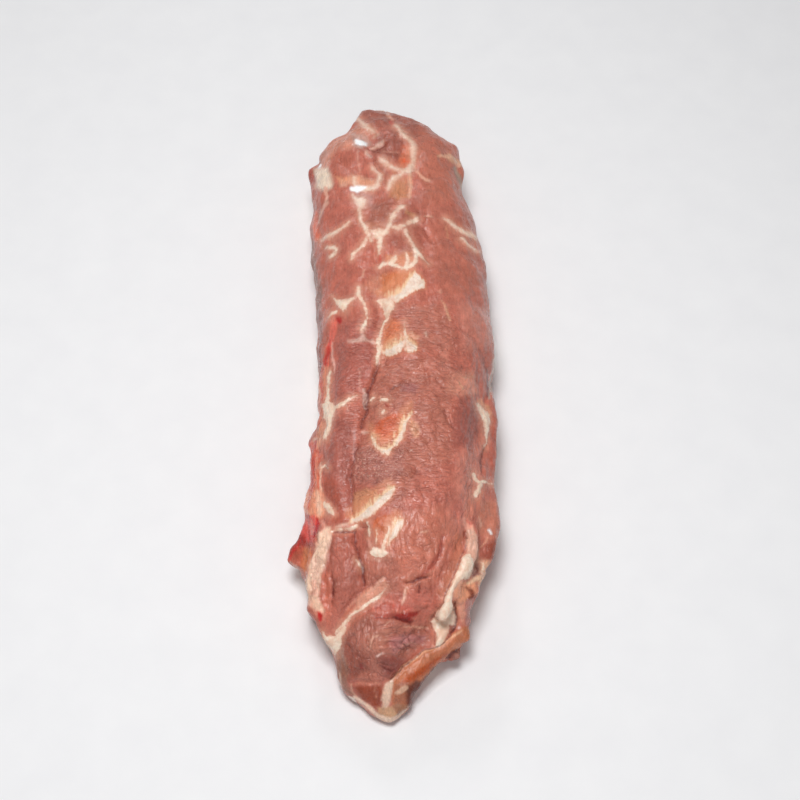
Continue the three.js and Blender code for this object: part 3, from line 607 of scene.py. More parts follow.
    # Painted shade along the lower crease
    "lower_dark_shade": ((172, 80, 70), 4, 0.75, [(444, 535, 1), (440, 551, 2.2), (431, 566, 2.2),
        (419, 579, 1.6)]),
    "short_stroke": ((244, 200, 184), 1.6, 0.9, [(405.5, 589, 0.8), (404.4, 599, 1.6),
        (402.8, 605.5, 0.8)]),
    "above_fold": ((206, 104, 92), 5, 0.7, [(378, 607, 1.6), (395, 606, 2.6), (410, 609, 2.6)]),
    "bulb_red": ((186, 84, 74), 5, 0.7, [(377, 617, 1.6), (386, 615, 2.4), (396, 615, 2)]),
    # Red tissue in the bulb's fold, darkened with painted shade
    "bulb_fold_red_shade": ((158, 44, 38), 3, 0.95, [(395, 615), (401, 613.4), (412, 611.5), (420, 613),
        (417.5, 616), (410.5, 617.3), (414, 621.5), (407.5, 622.7), (401, 621.2), (396, 618.8)]),
    "bulb_red_spot": ((146, 36, 40), 1.8, 0.85, [(361, 664, 1.2), (361.6, 668, 1.4)]),
    "bulb_arc": ((240, 190, 172), 1.4, 0.9, [(370.6, 647.7, 0.5), (370.8, 641, 0.9), (373, 637, 0.9),
        (378, 635, 0.5)]),
    # Painted glints on the bulb
    "bulb_glint_dash": ((252, 224, 218), 1.6, 0.9, [(377, 656, 1), (380, 653.8, 0.8), (384, 652.5, 0.5)]),
    "bulb_hook": ((220, 170, 154), 1.3, 0.8, [(384.8, 626, 0.5), (387, 622.5, 0.6), (391, 621.5, 0.4)]),
    # Painted highlights on the ridges right of the bulb
    "bulb_ridge_highlight": ((232, 178, 158), 1.6, 0.85, [(403, 627, 0.5), (414, 626.5, 0.8), (428, 628.5, 0.5)]),
    "nodule": ((255, 184, 166), 2.4, 0.95, [(461, 524), (464, 517.5), (470, 519), (474, 526), (474, 533),
        (468, 532), (464, 528)]),
    "nodule_red": ((228, 104, 92), 2.4, 0.7, [(467, 520, 1), (471, 523.5, 1.4)]),
    "right_warm": ((224, 146, 126), 4, 0.7, [(465, 498), (474, 498), (472, 518), (465, 520)]),
    "middle_glow": ((216, 144, 128), 6, 0.7, [(441, 342), (449, 342), (449, 372), (440, 372)]),
    "pad_halo": ((230, 172, 158), 2.5, 0.8, [(369, 541, 1.5), (371, 546, 2)]),
    "right_lower_skin": ((206, 134, 114), 6, 0.8, [(478, 500), (498, 500), (498, 536), (486, 542),
        (477, 530)]),
    "right_streaks": ((240, 188, 166), 2, 0.7, [(479, 517, 0.5), (480.5, 523, 0.9), (481, 528, 0.5)]),
    "right_streak_low": ((236, 180, 156), 2, 0.7, [(481.5, 546.5, 0.6), (485, 542, 0.9),
        (487.3, 537.3, 0.6)]),
    # Brownish red on the right flank, darkened with painted shade
    "right_red_shaded": ((156, 82, 66), 6, 0.9, [(486, 545), (498, 538), (496, 558), (487, 561), (481, 558)]),
    "stripe_upper": ((232, 188, 170), 2.4, 0.95, [(467, 530), (473, 527), (478, 537), (479.5, 550),
        (479, 562), (474, 564), (468, 555), (466, 543)]),
    "stripe_mauve": ((208, 164, 150), 2.4, 0.8, [(477, 540, 1.2), (478, 552, 1.6), (477, 561, 1.6)]),
    # Painted shade in the cavity
    "cavity_shade": ((160, 112, 108), 2.4, 0.95, [(473, 564), (479, 563), (483, 566), (481, 573), (475, 578),
        (471, 577), (472, 570)]),
    "roll": ((250, 176, 142), 3, 0.95, [(455, 588), (462, 581), (475, 583), (476, 592), (470, 600),
        (462, 604), (455, 604)]),
    # Painted highlight along the top of the roll
    "roll_highlight": ((255, 222, 190), 2.6, 0.9, [(468, 583, 1.4), (474, 580, 2.4), (480, 577, 2)]),
    "rim_pale": ((232, 190, 158), 5, 0.85, [(480, 560), (489, 561), (488, 574), (483, 584), (477, 586),
        (480, 573)]),
    "roll_low": ((228, 156, 118), 2.4, 0.8, [(457, 603, 2), (456, 609, 1.4)]),
    # Painted shade under the roll
    "roll_underside_shade": ((120, 50, 34), 3, 0.9, [(466, 587, 1), (470.5, 591, 2.6), (473, 596, 2.4),
        (468, 600, 1.8)]),
    "roll_pink": ((222, 160, 140), 3, 0.9, [(456, 602), (464, 600), (466, 612), (464, 626), (458, 616)]),
    "roll_lilac": ((188, 140, 136), 3, 0.9, [(466, 600), (472, 599), (473, 612), (472, 626), (466, 626)]),
    "lump_hole": ((146, 90, 88), 1.8, 0.95, [(448, 625), (454, 623), (455, 629), (450, 631)]),
    "lump_glint": ((246, 208, 204), 1.6, 0.9, [(458, 627, 0.9), (462, 628.5, 0.9)]),
    "stripe_bed": ((240, 202, 182), 2.6, 0.75, [(460, 574, 3.5), (450, 595, 4), (442, 614, 7),
        (441, 634, 4)]),
    "flap": ((202, 128, 94), 3, 0.95, [(462, 627), (449, 636), (431, 648), (424, 649), (417, 656),
        (409, 663), (401, 669), (395, 676), (392, 684), (392, 712), (404, 716), (412, 704), (419, 690),
        (431, 673), (444, 665), (464, 648), (472, 638), (470, 628)]),
    "flap_shine": ((250, 202, 170), 2.2, 0.85, [(393, 679, 0.6), (401, 668.5, 0.8), (413.5, 660, 1.1),
        (426, 651, 1.3), (440, 645, 1.3), (452, 637, 1.1), (462, 631, 0.8)]),
    "flap_deep": ((176, 76, 24), 5, 0.9, [(403, 683, 2.4), (412, 677, 3.6), (421, 671, 3.6),
        (432, 663, 2.6), (446, 655, 1.6)]),
    # Painted shade on the flap's lower part
    "flap_low_shade": ((104, 44, 30), 3, 0.85, [(413, 691, 2.4), (421, 684, 2.8), (428, 676, 2.8),
        (435, 669, 2.4), (442, 664, 1.8)]),
    "tip_middle": ((160, 100, 76), 4, 0.85, [(395, 684), (408, 682), (412, 700), (406, 708), (394, 706)]),
    # Painted shade under the flap at the tip's right
    "tip_underside_shade": ((98, 46, 36), 4, 0.9, [(406, 687), (414, 680), (424, 681), (419, 701), (411, 711),
        (406, 705)]),
    # The tip's front, its own colour darkened with painted shade
    "tip_front_shaded": ((168, 122, 96), 4, 0.85, [(391, 706), (400, 703), (410, 706), (404, 716), (394, 717),
        (389, 713)]),
    "tip_stripe": ((236, 208, 190), 2.2, 0.95, [(393.5, 679), (385.5, 684), (383, 691), (382, 699),
        (383, 708), (388.5, 708), (391, 700), (392.5, 690), (393.5, 683)]),
    "tip_oval": ((208, 170, 148), 1.6, 0.95, [(397, 692.5, 2.2), (401, 690.5, 3.1), (405.5, 688, 2.2)]),
    "tip_cream": ((206, 168, 134), 3, 0.85, [(378, 706), (392, 708), (396, 716), (388, 719), (378, 714)]),
    "tip_edge": ((255, 230, 212), 2.4, 0.9, [(355, 696.5, 1.2), (363, 702.5, 1.8), (370, 708.5, 2.2),
        (378, 714.5, 2.6), (388, 719.5, 3), (398, 718, 2.4), (406, 711, 1.4)]),
    "film": ((252, 248, 246), 1.2, 0.95, [(340.4, 688.5, 1), (342.5, 692, 1.3), (347, 695, 0.8)]),
    "film_middle": ((250, 240, 230), 1.2, 0.9, [(350, 696, 0.6), (354, 698.5, 1.1), (357, 703, 0.8)]),
    "facet_rim": ((228, 182, 160), 1.6, 0.85, [(352.3, 684, 0.7), (353, 690, 0.8), (357, 697, 0.6)]),
    "under_lobe": ((162, 122, 112), 2.6, 0.85, [(452, 660), (460, 651), (464, 652), (460, 660),
        (454, 666)]),
}

# Folds that wind over the flesh, their valleys also darkened with painted shade: softness in pixels, height
# in mm, how far apart across and along in mm, how far they turn from the lengthwise direction in degrees, and
# where
FOLDS = {
    "far": (12, 0.5, 6, 9, 10, [(325, 150), (360, 118), (420, 122), (455, 170), (474, 240), (440, 300),
        (330, 300), (316, 230)]),
    "upper_middle": (8, 0.6, 2.6, 9, 70, [(396, 300), (452, 300), (458, 350), (420, 356), (400, 340)]),
    "left_muscle": (5, 0.55, 2.4, 8, 75, [(336, 344), (372, 344), (372, 366), (362, 390), (334, 398)]),
    "middle": (10, 0.7, 2.6, 8, 78, [(384, 362), (450, 356), (454, 420), (400, 410), (372, 410)]),
    "middle_low": (8, 0.6, 2.6, 7, 60, [(404, 424), (452, 420), (452, 480), (410, 480), (402, 450)]),
    "speckled": (6, 0.5, 1.6, 2.2, 0, [(354, 446), (402, 444), (404, 476), (388, 486), (352, 484)]),
    "left_strip": (4, 0.6, 2, 5, 88, [(333, 418), (352, 424), (352, 505), (336, 508), (324, 470)]),
    "right": (7, 0.5, 2.6, 12, -18, [(455, 330), (486, 350), (480, 440), (474, 520), (456, 520),
        (454, 440)]),
    "red_bulge": (6, 0.6, 2.8, 9, 25, [(404, 490), (450, 480), (452, 516), (400, 516)]),
    "lower": (8, 0.7, 3.4, 18, 4, [(398, 520), (462, 512), (462, 550), (444, 596), (400, 604),
        (392, 556)]),
    "lower_left": (4, 0.7, 2.4, 4.5, 20, [(330, 536), (360, 534), (361, 590), (344, 612), (334, 604),
        (326, 560)]),
    "between": (5, 0.65, 2.4, 8, -8, [(364, 534), (372, 556), (396, 552), (398, 590), (368, 592)]),
    "left_bottom": (3, 0.5, 2.2, 7, 0, [(322, 574), (331, 572), (331, 604), (332, 624), (323, 622)]),
    "above_bulb": (4, 0.8, 2.6, 5, 60, [(368, 606), (392, 594), (430, 590), (430, 610), (400, 616),
        (370, 616)]),
    "bulb_left": (4, 0.9, 2.6, 12, -6, [(344, 634), (364, 616), (378, 622), (372, 650), (352, 676),
        (340, 676)]),
    "bulb_right": (4, 1.3, 3, 13, 98, [(378, 622), (400, 622), (432, 626), (430, 642), (402, 660),
        (378, 656)]),
    "bulb_low": (4, 0.8, 2.6, 7, 55, [(356, 656), (392, 656), (400, 664), (386, 680), (358, 678)]),
    "strip": (3, 0.3, 1.6, 11, 0, [(333, 322), (336, 340), (334, 400), (328, 440), (322, 500), (312, 506),
        (311, 450), (320, 400), (322, 340)]),
    "column": (3, 1.2, 2.6, 4, 0, [(313, 534), (330, 531), (325, 552), (324, 590), (323, 612), (310, 602),
        (306, 583), (310, 560)]),
    "lobe": (3, 0.5, 2.4, 4, 30, [(304, 526), (309, 552), (306, 576), (291, 562)]),
    "stripe": (3, 0.7, 4, 5.5, 0, [(468, 534), (480, 540), (480, 566), (462, 590), (456, 624), (440, 646),
        (432, 622), (450, 590)]),
    "tendon": (3, 0.35, 1.8, 9, 50, [(342, 618), (362, 592), (386, 578), (388, 586), (352, 612)]),
    "flap": (3, 0.3, 2.6, 12, 55, [(462, 632), (420, 660), (396, 690), (410, 700), (440, 664),
        (466, 645)]),
    "roll": (3, 0.5, 3, 4, 0, [(458, 586), (482, 572), (472, 622), (458, 624)]),
    "tip": (3, 0.6, 2, 2.6, 0, [(352, 700), (372, 706), (404, 708), (404, 724), (372, 724)]),
}

# Where the flesh is finely wrinkled from side to side, and where its fine lines run lengthwise: softness,
# strength, and where
WRINKLED = {
    "middle": (14, 1, [(345, 320), (400, 300), (452, 310), (470, 360), (456, 440), (452, 500), (400, 510),
        (352, 500), (336, 430), (336, 350)]),
    "lower": (8, 0.7, [(402, 528), (436, 526), (434, 562), (424, 574), (402, 574)]),
    "bulb": (6, 0.9, [(380, 620), (428, 626), (428, 640), (400, 660), (384, 650)]),
    "far": (12, 0.3, [(330, 200), (440, 200), (476, 260), (452, 310), (340, 310), (320, 260)]),
}
FIBROUS = {
    "right": (8, 0.6, [(458, 330), (486, 350), (492, 500), (470, 530), (456, 500)]),
    "lower": (10, 0.45, [(330, 536), (372, 552), (400, 516), (460, 512), (460, 545), (440, 596),
        (380, 604), (330, 610)]),
    "bulb": (6, 0.8, [(346, 630), (368, 614), (380, 640), (384, 680), (345, 676)]),
    "edges": (3, 0.8, [(334, 320), (334, 400), (320, 500), (322, 600), (310, 600), (306, 520),
        (320, 400)]),
}

# Where pale grains of fat show between the fibres, with small painted glints among them: softness, strength,
# and where
SPECKLED = {
    "middle": (6, 1, [(352, 450), (370, 444), (392, 458), (404, 446), (404, 468), (390, 480),
        (354, 478)]),
    "upper": (4, 0.8, [(376, 394), (394, 388), (396, 414), (378, 418)]),
    "right": (4, 0.7, [(412, 362), (426, 362), (424, 382), (398, 390), (396, 384), (410, 378)]),
}

# Glints: small white painted highlights laid into the colour, where the wet film is also made smoother
GLINTS = {
    "far_upper": [(356.5, 141.5, 2.2), (361, 143, 2.6), (365.5, 144, 1.6)],
    "far_lower": [(351.5, 188.8, 2.2), (357, 189, 2.8), (364, 187.3, 1.8)],
    "far_edge": [(320.6, 165, 0.9), (320, 168, 0.9)],
    "right_low": [(488.8, 530, 0.8), (490.6, 533.5, 0.9)],
}


def linear(red, green, blue):
    """A colour given as 0 to 255 on a screen, as Blender's linear colour."""
    shares = [value / 255 for value in (red, green, blue)]
    return tuple(((s + 0.055) / 1.055) ** 2.4 if s > 0.04045 else s / 12.92 for s in shares)


def opaque(screen_colour):
    """A colour on a screen, as a material's sockets take it."""
    return (*linear(*screen_colour), 1.0)


def corner_slopes(cells, seed):
    """A repeatable slope for each whole-number corner of the noise's grid."""
    mixed = cells @ CORNER_FACTORS + seed * SEED_FACTOR
    mixed = (mixed ^ (mixed >> 13)) * MIXING_FACTOR
    mixed = mixed ^ (mixed >> 16)
    return SLOPES[(mixed & 65535) % len(SLOPES)]


def smooth_noise(points, size, seed):
    """Soft noise, mostly from -1 to 1, with bumps about size apart (one number, or one for each axis)."""
    cell = (points / np.asarray(size, float)) @ GRID_TURN + seed * SEED_SHIFT
    base = np.floor(cell).astype(np.int64)
    part = cell - base
    ease = part**3 * (part * (part * 6.0 - 15.0) + 10.0)
    total = np.zeros(len(points))
    for corner in np.ndindex(2, 2, 2):
        weight = np.prod(np.where(corner, ease, 1.0 - ease), axis=1)
        slopes = corner_slopes(base + np.array(corner), seed)
        total += weight * np.sum(slopes * (part - corner), axis=1)
    return NOISE_GAIN * total


def added_noise(places, layers):
    """The sum of several noises: (strength, size in mm, seed)."""
    return sum(strength * smooth_noise(places, size * MM, seed) for strength, size, seed in layers)


def ramp(value, start, end):
    """0 before start, 1 after end, and a smooth rise between them. start may be above end."""
    t = np.clip((value - start) / (end - start), 0.0, 1.0)
    return t * t * (3.0 - 2.0 * t)


def from_camera(points):
    """Where points, in metres, lie from the picture's camera, and how deep in its view."""
    away = points - np.array(CAMERA_PLACE)
    deep = away[:, 1] * math.cos(LOOK_DOWN) - away[:, 2] * math.sin(LOOK_DOWN)
    return away, deep


def picture_pixels(points):
    """Where points, in metres, show in the picture."""
    away, deep = from_camera(points)
    high = away[:, 1] * math.sin(LOOK_DOWN) + away[:, 2] * math.cos(LOOK_DOWN)
    half = PICTURE_PIXELS / 2
    return np.stack([half + FOCAL_PIXELS * away[:, 0] / deep, half - FOCAL_PIXELS * high / deep], axis=1)


def gap_to_stroke(pixels, stroke):
    """Pixels from each point to the edge of a stroke whose half-width changes, negative inside."""
    gap = np.full(len(pixels), FAR_AWAY)
    drawn = np.array(stroke, float)
    low, high = drawn[:, :2].min(0) - FAR_AWAY, drawn[:, :2].max(0) + FAR_AWAY
    near = np.all((pixels > low) & (pixels < high), axis=1)
    points = pixels[near]
    best = np.full(len(points), FAR_AWAY)
    for (x0, y0, w0), (x1, y1, w1) in zip(stroke, stroke[1:]):
        run = np.array([x1 - x0, y1 - y0])
        share = np.clip((points - (x0, y0)) @ run / (run @ run), 0.0, 1.0)
        off = np.linalg.norm(points - (x0, y0) - share[:, None] * run, axis=1)
        best = np.minimum(best, off - (w0 + share * (w1 - w0)))
    gap[near] = best
    return gap


def gap_to_patch(pixels, outline):
    """Pixels from each point to the outline of a patch, negative inside."""
    closed = [(x, y, 0.0) for x, y in outline + outline[:1]]
    gap = np.abs(gap_to_stroke(pixels, closed))
    inside = np.zeros(len(pixels), bool)
    x, y = pixels[:, 0], pixels[:, 1]
    for (x0, y0, _), (x1, y1, _) in zip(closed, closed[1:]):
        if y0 == y1:
            continue
        crossed = ((y0 > y) != (y1 > y)) & (x < (x1 - x0) * (y - y0) / (y1 - y0) + x0)
        inside ^= crossed
    return np.where(inside, -gap, gap)


def gap_to_shape(pixels, points):
    """The gap to a stroke or to a patch, by whether its points have half-widths."""
    return gap_to_stroke(pixels, points) if len(points[0]) == 3 else gap_to_patch(pixels, points)


def merged_copy(node, name):
    """A new object with the CAD node's shape, its loose triangles joined."""
    shape = bmesh.new()
    shape.from_mesh(node.data)
    bmesh.ops.remove_doubles(shape, verts=shape.verts, dist=MERGE_GAP)
    mesh = bpy.data.meshes.new(name)
    shape.to_mesh(mesh)
    shape.free()
    piece = bpy.data.objects.new(name, mesh)
    bpy.context.scene.collection.objects.link(piece)
    return piece


def even_skin(piece):
    """Gives the piece an even mesh of small squares in place of the solid's long triangles."""
    remesh = piece.modifiers.new("even_skin", "REMESH")
    remesh.mode = "VOXEL"
    remesh.voxel_size = SKIN_CELL
    seen = bpy.context.evaluated_depsgraph_get()
    piece.data = bpy.data.meshes.new_from_object(piece.evaluated_get(seen))
    piece.modifiers.clear()


def relaxed(places, edges, rounds, step):
    """The points after each has moved step of the way to the middle of its neighbours, rounds times."""
    count = np.bincount(edges.ravel(), minlength=len(places))[:, None]
    for _ in range(rounds):
        total = np.zeros_like(places)
        for axis in range(3):
            total[:, axis] += np.bincount(edges[:, 0], places[edges[:, 1], axis], len(places))
            total[:, axis] += np.bincount(edges[:, 1], places[edges[:, 0], axis], len(places))
        places = places + step * (total / count - places)
    return places


def mesh_places(mesh):
    """The places of the mesh's points."""
    places = np.zeros(len(mesh.vertices) * 3, np.float32)
    mesh.vertices.foreach_get("co", places)
    return places.reshape(-1, 3).astype(float)


def mesh_edges(mesh):
    """The two points at the ends of each of the mesh's edges."""
    edges = np.zeros(len(mesh.edges) * 2, np.int32)
    mesh.edges.foreach_get("vertices", edges)
    return edges.reshape(-1, 2)


def mesh_normals(mesh):
    """The directions that the mesh's points face."""
    normals = np.zeros(len(mesh.vertices) * 3, np.float32)
    mesh.vertex_normals.foreach_get("vector", normals)
    return normals.reshape(-1, 3).astype(float)


def set_places(mesh, places):
    """Moves the mesh's points to the given places."""
    mesh.vertices.foreach_set("co", places.astype(np.float32).ravel())
    mesh.update()


def rounded(mesh, rounds):
    """Softens the steps and facets of the mesh without letting it shrink."""
    edges = mesh_edges(mesh)
    places = mesh_places(mesh)
    for _ in range(rounds):
        places = relaxed(places, edges, 1, SHRINK_STEP)
        places = relaxed(places, edges, 1, SWELL_STEP)
    set_places(mesh, relaxed(places, edges, 1, LAST_STEP))


def finer_on_top(mesh):
    """Splits each square of the skin in nine on the side that the picture shows, where the markings are."""
    shape = bmesh.new()
    shape.from_mesh(mesh)
    shape.normal_update()
    eye = Vector(CAMERA_PLACE)
    shown = set()
    for face in shape.faces:
        to_eye = (eye - face.calc_center_median()).normalized()
        if face.normal.dot(to_eye) > 0.0:
            shown.add(face)
    upper = [edge for edge in shape.edges if all(face in shown for face in edge.link_faces)]
    bmesh.ops.subdivide_edges(shape, edges=upper, cuts=SKIN_CUTS, use_grid_fill=True)
    shape.to_mesh(mesh)
    shape.free()


def nudged(places):
    """The points moved sideways a little, so that the outline follows the picture's."""
    pixels = picture_pixels(places)
    pixel = from_camera(places)[1] / FOCAL_PIXELS
    moved = places.copy()
    for where, reach, (right, down) in NUDGES.values():
        share = np.exp(-np.sum((pixels - where) ** 2, axis=1) / reach**2)
        moved[:, 0] += share * right * pixel
        moved[:, 1] -= share * down * pixel / math.sin(LOOK_DOWN)
    return moved


def facing(places, normals):
    """How squarely each point faces the picture's camera, from 0 to 1."""
    to_camera = np.array(CAMERA_PLACE) - places
    to_camera /= np.linalg.norm(to_camera, axis=1)[:, None]
    return ramp(np.sum(to_camera * normals, axis=1), *OUT_OF_SIGHT)


def wandering(places, pixels):
    """The picture places shaken a little, so that drawn edges become uneven like torn tissue."""
    shaken = pixels.copy()
    for axis in range(2):
        for strength, size, seed in EDGE_SHAKES:
            shaken[:, axis] += strength * smooth_noise(places, size * MM, seed + axis)
    return shaken


def drawn_fat_gap(places, pixels):
    """Pixels to the nearest of the drawn strings and pads of fat."""
    drawn = np.full(len(places), FAR_AWAY)
    for points in FAT.values():
        drawn = np.minimum(drawn, gap_to_shape(pixels, points))
    return drawn + added_noise(places, FAT_SHAKES)


def hidden_fat_gap(places):
    """As if in pixels, the gap to streaks and islands of fat on the sides that the picture doesn't show."""
    streaks = np.abs(smooth_noise(places, np.array(STREAK_SIZE) * MM, STREAK_SEED))
    streaks = streaks * STREAK_SPREAD - STREAK_HALF_WIDTH
    islands = smooth_noise(places, np.array(ISLAND_SIZE) * MM, ISLAND_SEED)
    islands = ISLAND_RARITY - ISLAND_SPREAD * islands
    strength, apart = STREAK_BREAKS
    breaks = strength * smooth_noise(places, apart * MM, BREAK_SEED)
    return np.minimum(streaks + breaks, islands)


def fat_gap(places, pixels, seen):
    """Pixels to the nearest fat: the drawn fat where the picture shows, and the hidden fat elsewhere."""
    drawn = drawn_fat_gap(places, pixels)
    hidden = hidden_fat_gap(places)
    between = 8.0 * seen * (1.0 - seen)
    return np.clip(drawn * seen + hidden * (1.0 - seen) + between, FAT_LIMIT, NO_MARK)


def rim_gaps(pixels):
    """Pixels to the solid lower parts of the fans' rims, and to the wider parts that are frayed."""
    core, frayed = np.full(len(pixels), FAR_AWAY), np.full(len(pixels), FAR_AWAY)
    for fraying, outline in FAN_RIMS.values():
        rim = gap_to_patch(pixels, outline)
        above = gap_to_patch(pixels - np.array(fraying), outline)
        inner = gap_to_patch(pixels + 0.3 * np.array(fraying), outline)
        core = np.minimum(core, np.maximum(rim, inner))
        frayed = np.minimum(frayed, np.minimum(rim, above))
    return np.clip(core, RIM_LIMIT, NO_MARK), np.clip(frayed, RIM_LIMIT, NO_MARK)


def crease_depth(pixels):
    """How deep the drawn creases are at each point, in metres, and the pixels to the nearest of them."""
    depth = np.zeros(len(pixels))
    nearest = np.full(len(pixels), FAR_AWAY)
    for deep, stroke in CREASES.values():
        gap = gap_to_stroke(pixels, stroke)
        depth = np.maximum(depth, deep * MM * np.exp(-((np.maximum(gap, 0.0) / CREASE_WIDTH) ** 2)))
        nearest = np.minimum(nearest, gap + 2.2 * max(0.0, 1.1 - deep))
    return depth, np.clip(nearest, CREASE_LIMIT, NO_MARK)


def folded(places, pixels):
    """Rounded folds with narrow winding valleys: their height, and a wave that is 0 along the valleys."""
    height = np.zeros(len(places))
    waves = np.full(len(places), WAVE_MIDDLE)
    drift = [smooth_noise(places, SWIRL_SIZE * MM, SWIRL_SEED + axis) for axis in range(3)]
    swirled = places + SWIRL * MM * np.stack(drift, axis=1)
    for seed, (soft, high, across, along, turn, outline) in enumerate(FOLDS.values()):
        share = ramp(gap_to_patch(pixels, outline), soft, -soft)
        near = share > 0.0
        share = share[near]
        laid = swirled[near] @ np.array(Matrix.Rotation(math.radians(turn), 3, "Z"))
        size = np.array([across, along, 1.5 * across]) * MM
        fine = smooth_noise(laid, 0.5 * size, FINE_FOLD_SEED + seed)
        wave = smooth_noise(laid, size, FOLD_SEED + seed) + 0.4 * fine
        height[near] += share * high * MM * (np.sqrt(np.abs(wave)) - HEIGHT_MIDDLE)
        waves[near] += share * (wave - waves[near])
    return height, waves


def washed(pixels, seen):
    """The flesh's colour at each point, with the drawn washes laid over it."""
    colour = np.tile(np.array(linear(*FLESH)), (len(pixels), 1))
    for tint, soft, strength, points in WASHES.values():
        cover = seen * strength * ramp(gap_to_shape(pixels, points), 0.55 * soft, -0.55 * soft)
        colour += cover[:, None] * (np.array(linear(*tint)) - colour)
    return colour


def share_inside(pixels, shapes):
    """From 0 to 1, how far each point is inside the given soft patches: (softness, strength, outline)."""
    share = np.zeros(len(pixels))
    for soft, strength, outline in shapes.values():
        share = np.maximum(share, strength * ramp(gap_to_patch(pixels, outline), soft, -soft))
    return share


def glint_share(pixels):
    """From 0 to 1, how far each point is inside a painted glint."""
    share = np.zeros(len(pixels))
    for stroke in GLINTS.values():
        share = np.maximum(share, ramp(gap_to_stroke(pixels, stroke), 1.5, -1.0))
    return share


def keep(mesh, name, values):
    """Stores one number for each point of the mesh, for the material to read."""
    layer = mesh.attributes.new(name, "FLOAT", "POINT")
    layer.data.foreach_set("value", np.asarray(values, np.float32))


def keep_colour(mesh, name, colours):
    """Stores one colour for each point of the mesh."""
    layer = mesh.attributes.new(name, "FLOAT_COLOR", "POINT")
    filled = np.ones((len(colours), 4), np.float32)
    filled[:, :3] = colours
    layer.data.foreach_set("color", filled.ravel())


def relief(places, fat, rim, folds, depth, seen):
    """How far each point is lifted, in metres: fat and rims up, swells and folds, and creases down."""
    pad = THIN_FAT * ramp(fat, 1.2, -1.0) + THICK_FAT * ramp(fat, -0.5, -5.0)
    raised = pad + RIM_HEIGHT * seen * ramp(rim, 0.8, -1.4)
    swell = added_noise(places, SWELLS)
    bare = ramp(fat, -1.0, 1.5) * ramp(rim, -1.0, 1.5)
    lift = raised + swell + (folds * (0.3 + 0.7 * bare) - depth) * seen
    return lift * ramp(places[:, 2], *FADE_IN)


def fine_skin(name):
    """The solid's shape with an even skin, finer on top, its outline nudged to the picture's."""
    piece = merged_copy(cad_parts["tenderloin"], name)
    even_skin(piece)
    mesh = piece.data
    rounded(mesh, SKIN_SMOOTHING)
    finer_on_top(mesh)
    set_places(mesh, nudged(relaxed(mesh_places(mesh), mesh_edges(mesh), TOP_SMOOTHING, TOP_STEP)))
    return piece


def keep_markings(mesh, pixels, seen, fat, rims, crease, waves):
    """Stores on the mesh what the material needs of the drawn markings."""
    across, along = share_inside(pixels, WRINKLED) * seen, share_inside(pixels, FIBROUS) * seen
    keep(mesh, "fat_gap", fat)
    keep(mesh, "rim_core", np.where(seen > SHOWN, rims[0], NO_MARK))
    keep(mesh, "rim_frayed", np.where(seen > SHOWN, rims[1], NO_MARK))
    keep(mesh, "crease_gap", np.where(seen > SHOWN, crease, NO_MARK))
    keep(mesh, "fold_wave", WAVE_MIDDLE + (waves - WAVE_MIDDLE) * seen)
    keep(mesh, "across", across)
    keep(mesh, "along", along)
    keep(mesh, "speckled", share_inside(pixels, SPECKLED) * seen)
    keep(mesh, "glint", glint_share(pixels) * seen)
    keep_colour(mesh, "wash", washed(pixels, seen))


def dressed_meat():
    """The whole piece of meat: the solid's shape with a finer skin, its creases, fat and colours."""
    piece = fine_skin("pork_tenderloin")
    mesh = piece.data
    places, normals = mesh_places(mesh), mesh_normals(mesh)
    seen = facing(places, normals)
    pixels = wandering(places, picture_pixels(places))
    fat = fat_gap(places, pixels, seen)
    rims = rim_gaps(pixels)
    depth, crease = crease_depth(pixels)
    folds, waves = folded(places, pixels)
    lift = relief(places, fat, rims[0], folds, depth, seen)
    moved = places + normals * lift[:, None]
    moved[:, 2] = np.maximum(moved[:, 2], 0.0)
    set_places(mesh, moved)
    keep_markings(mesh, pixels, seen, fat, rims, crease, waves)
    mesh.shade_smooth()
    return piece


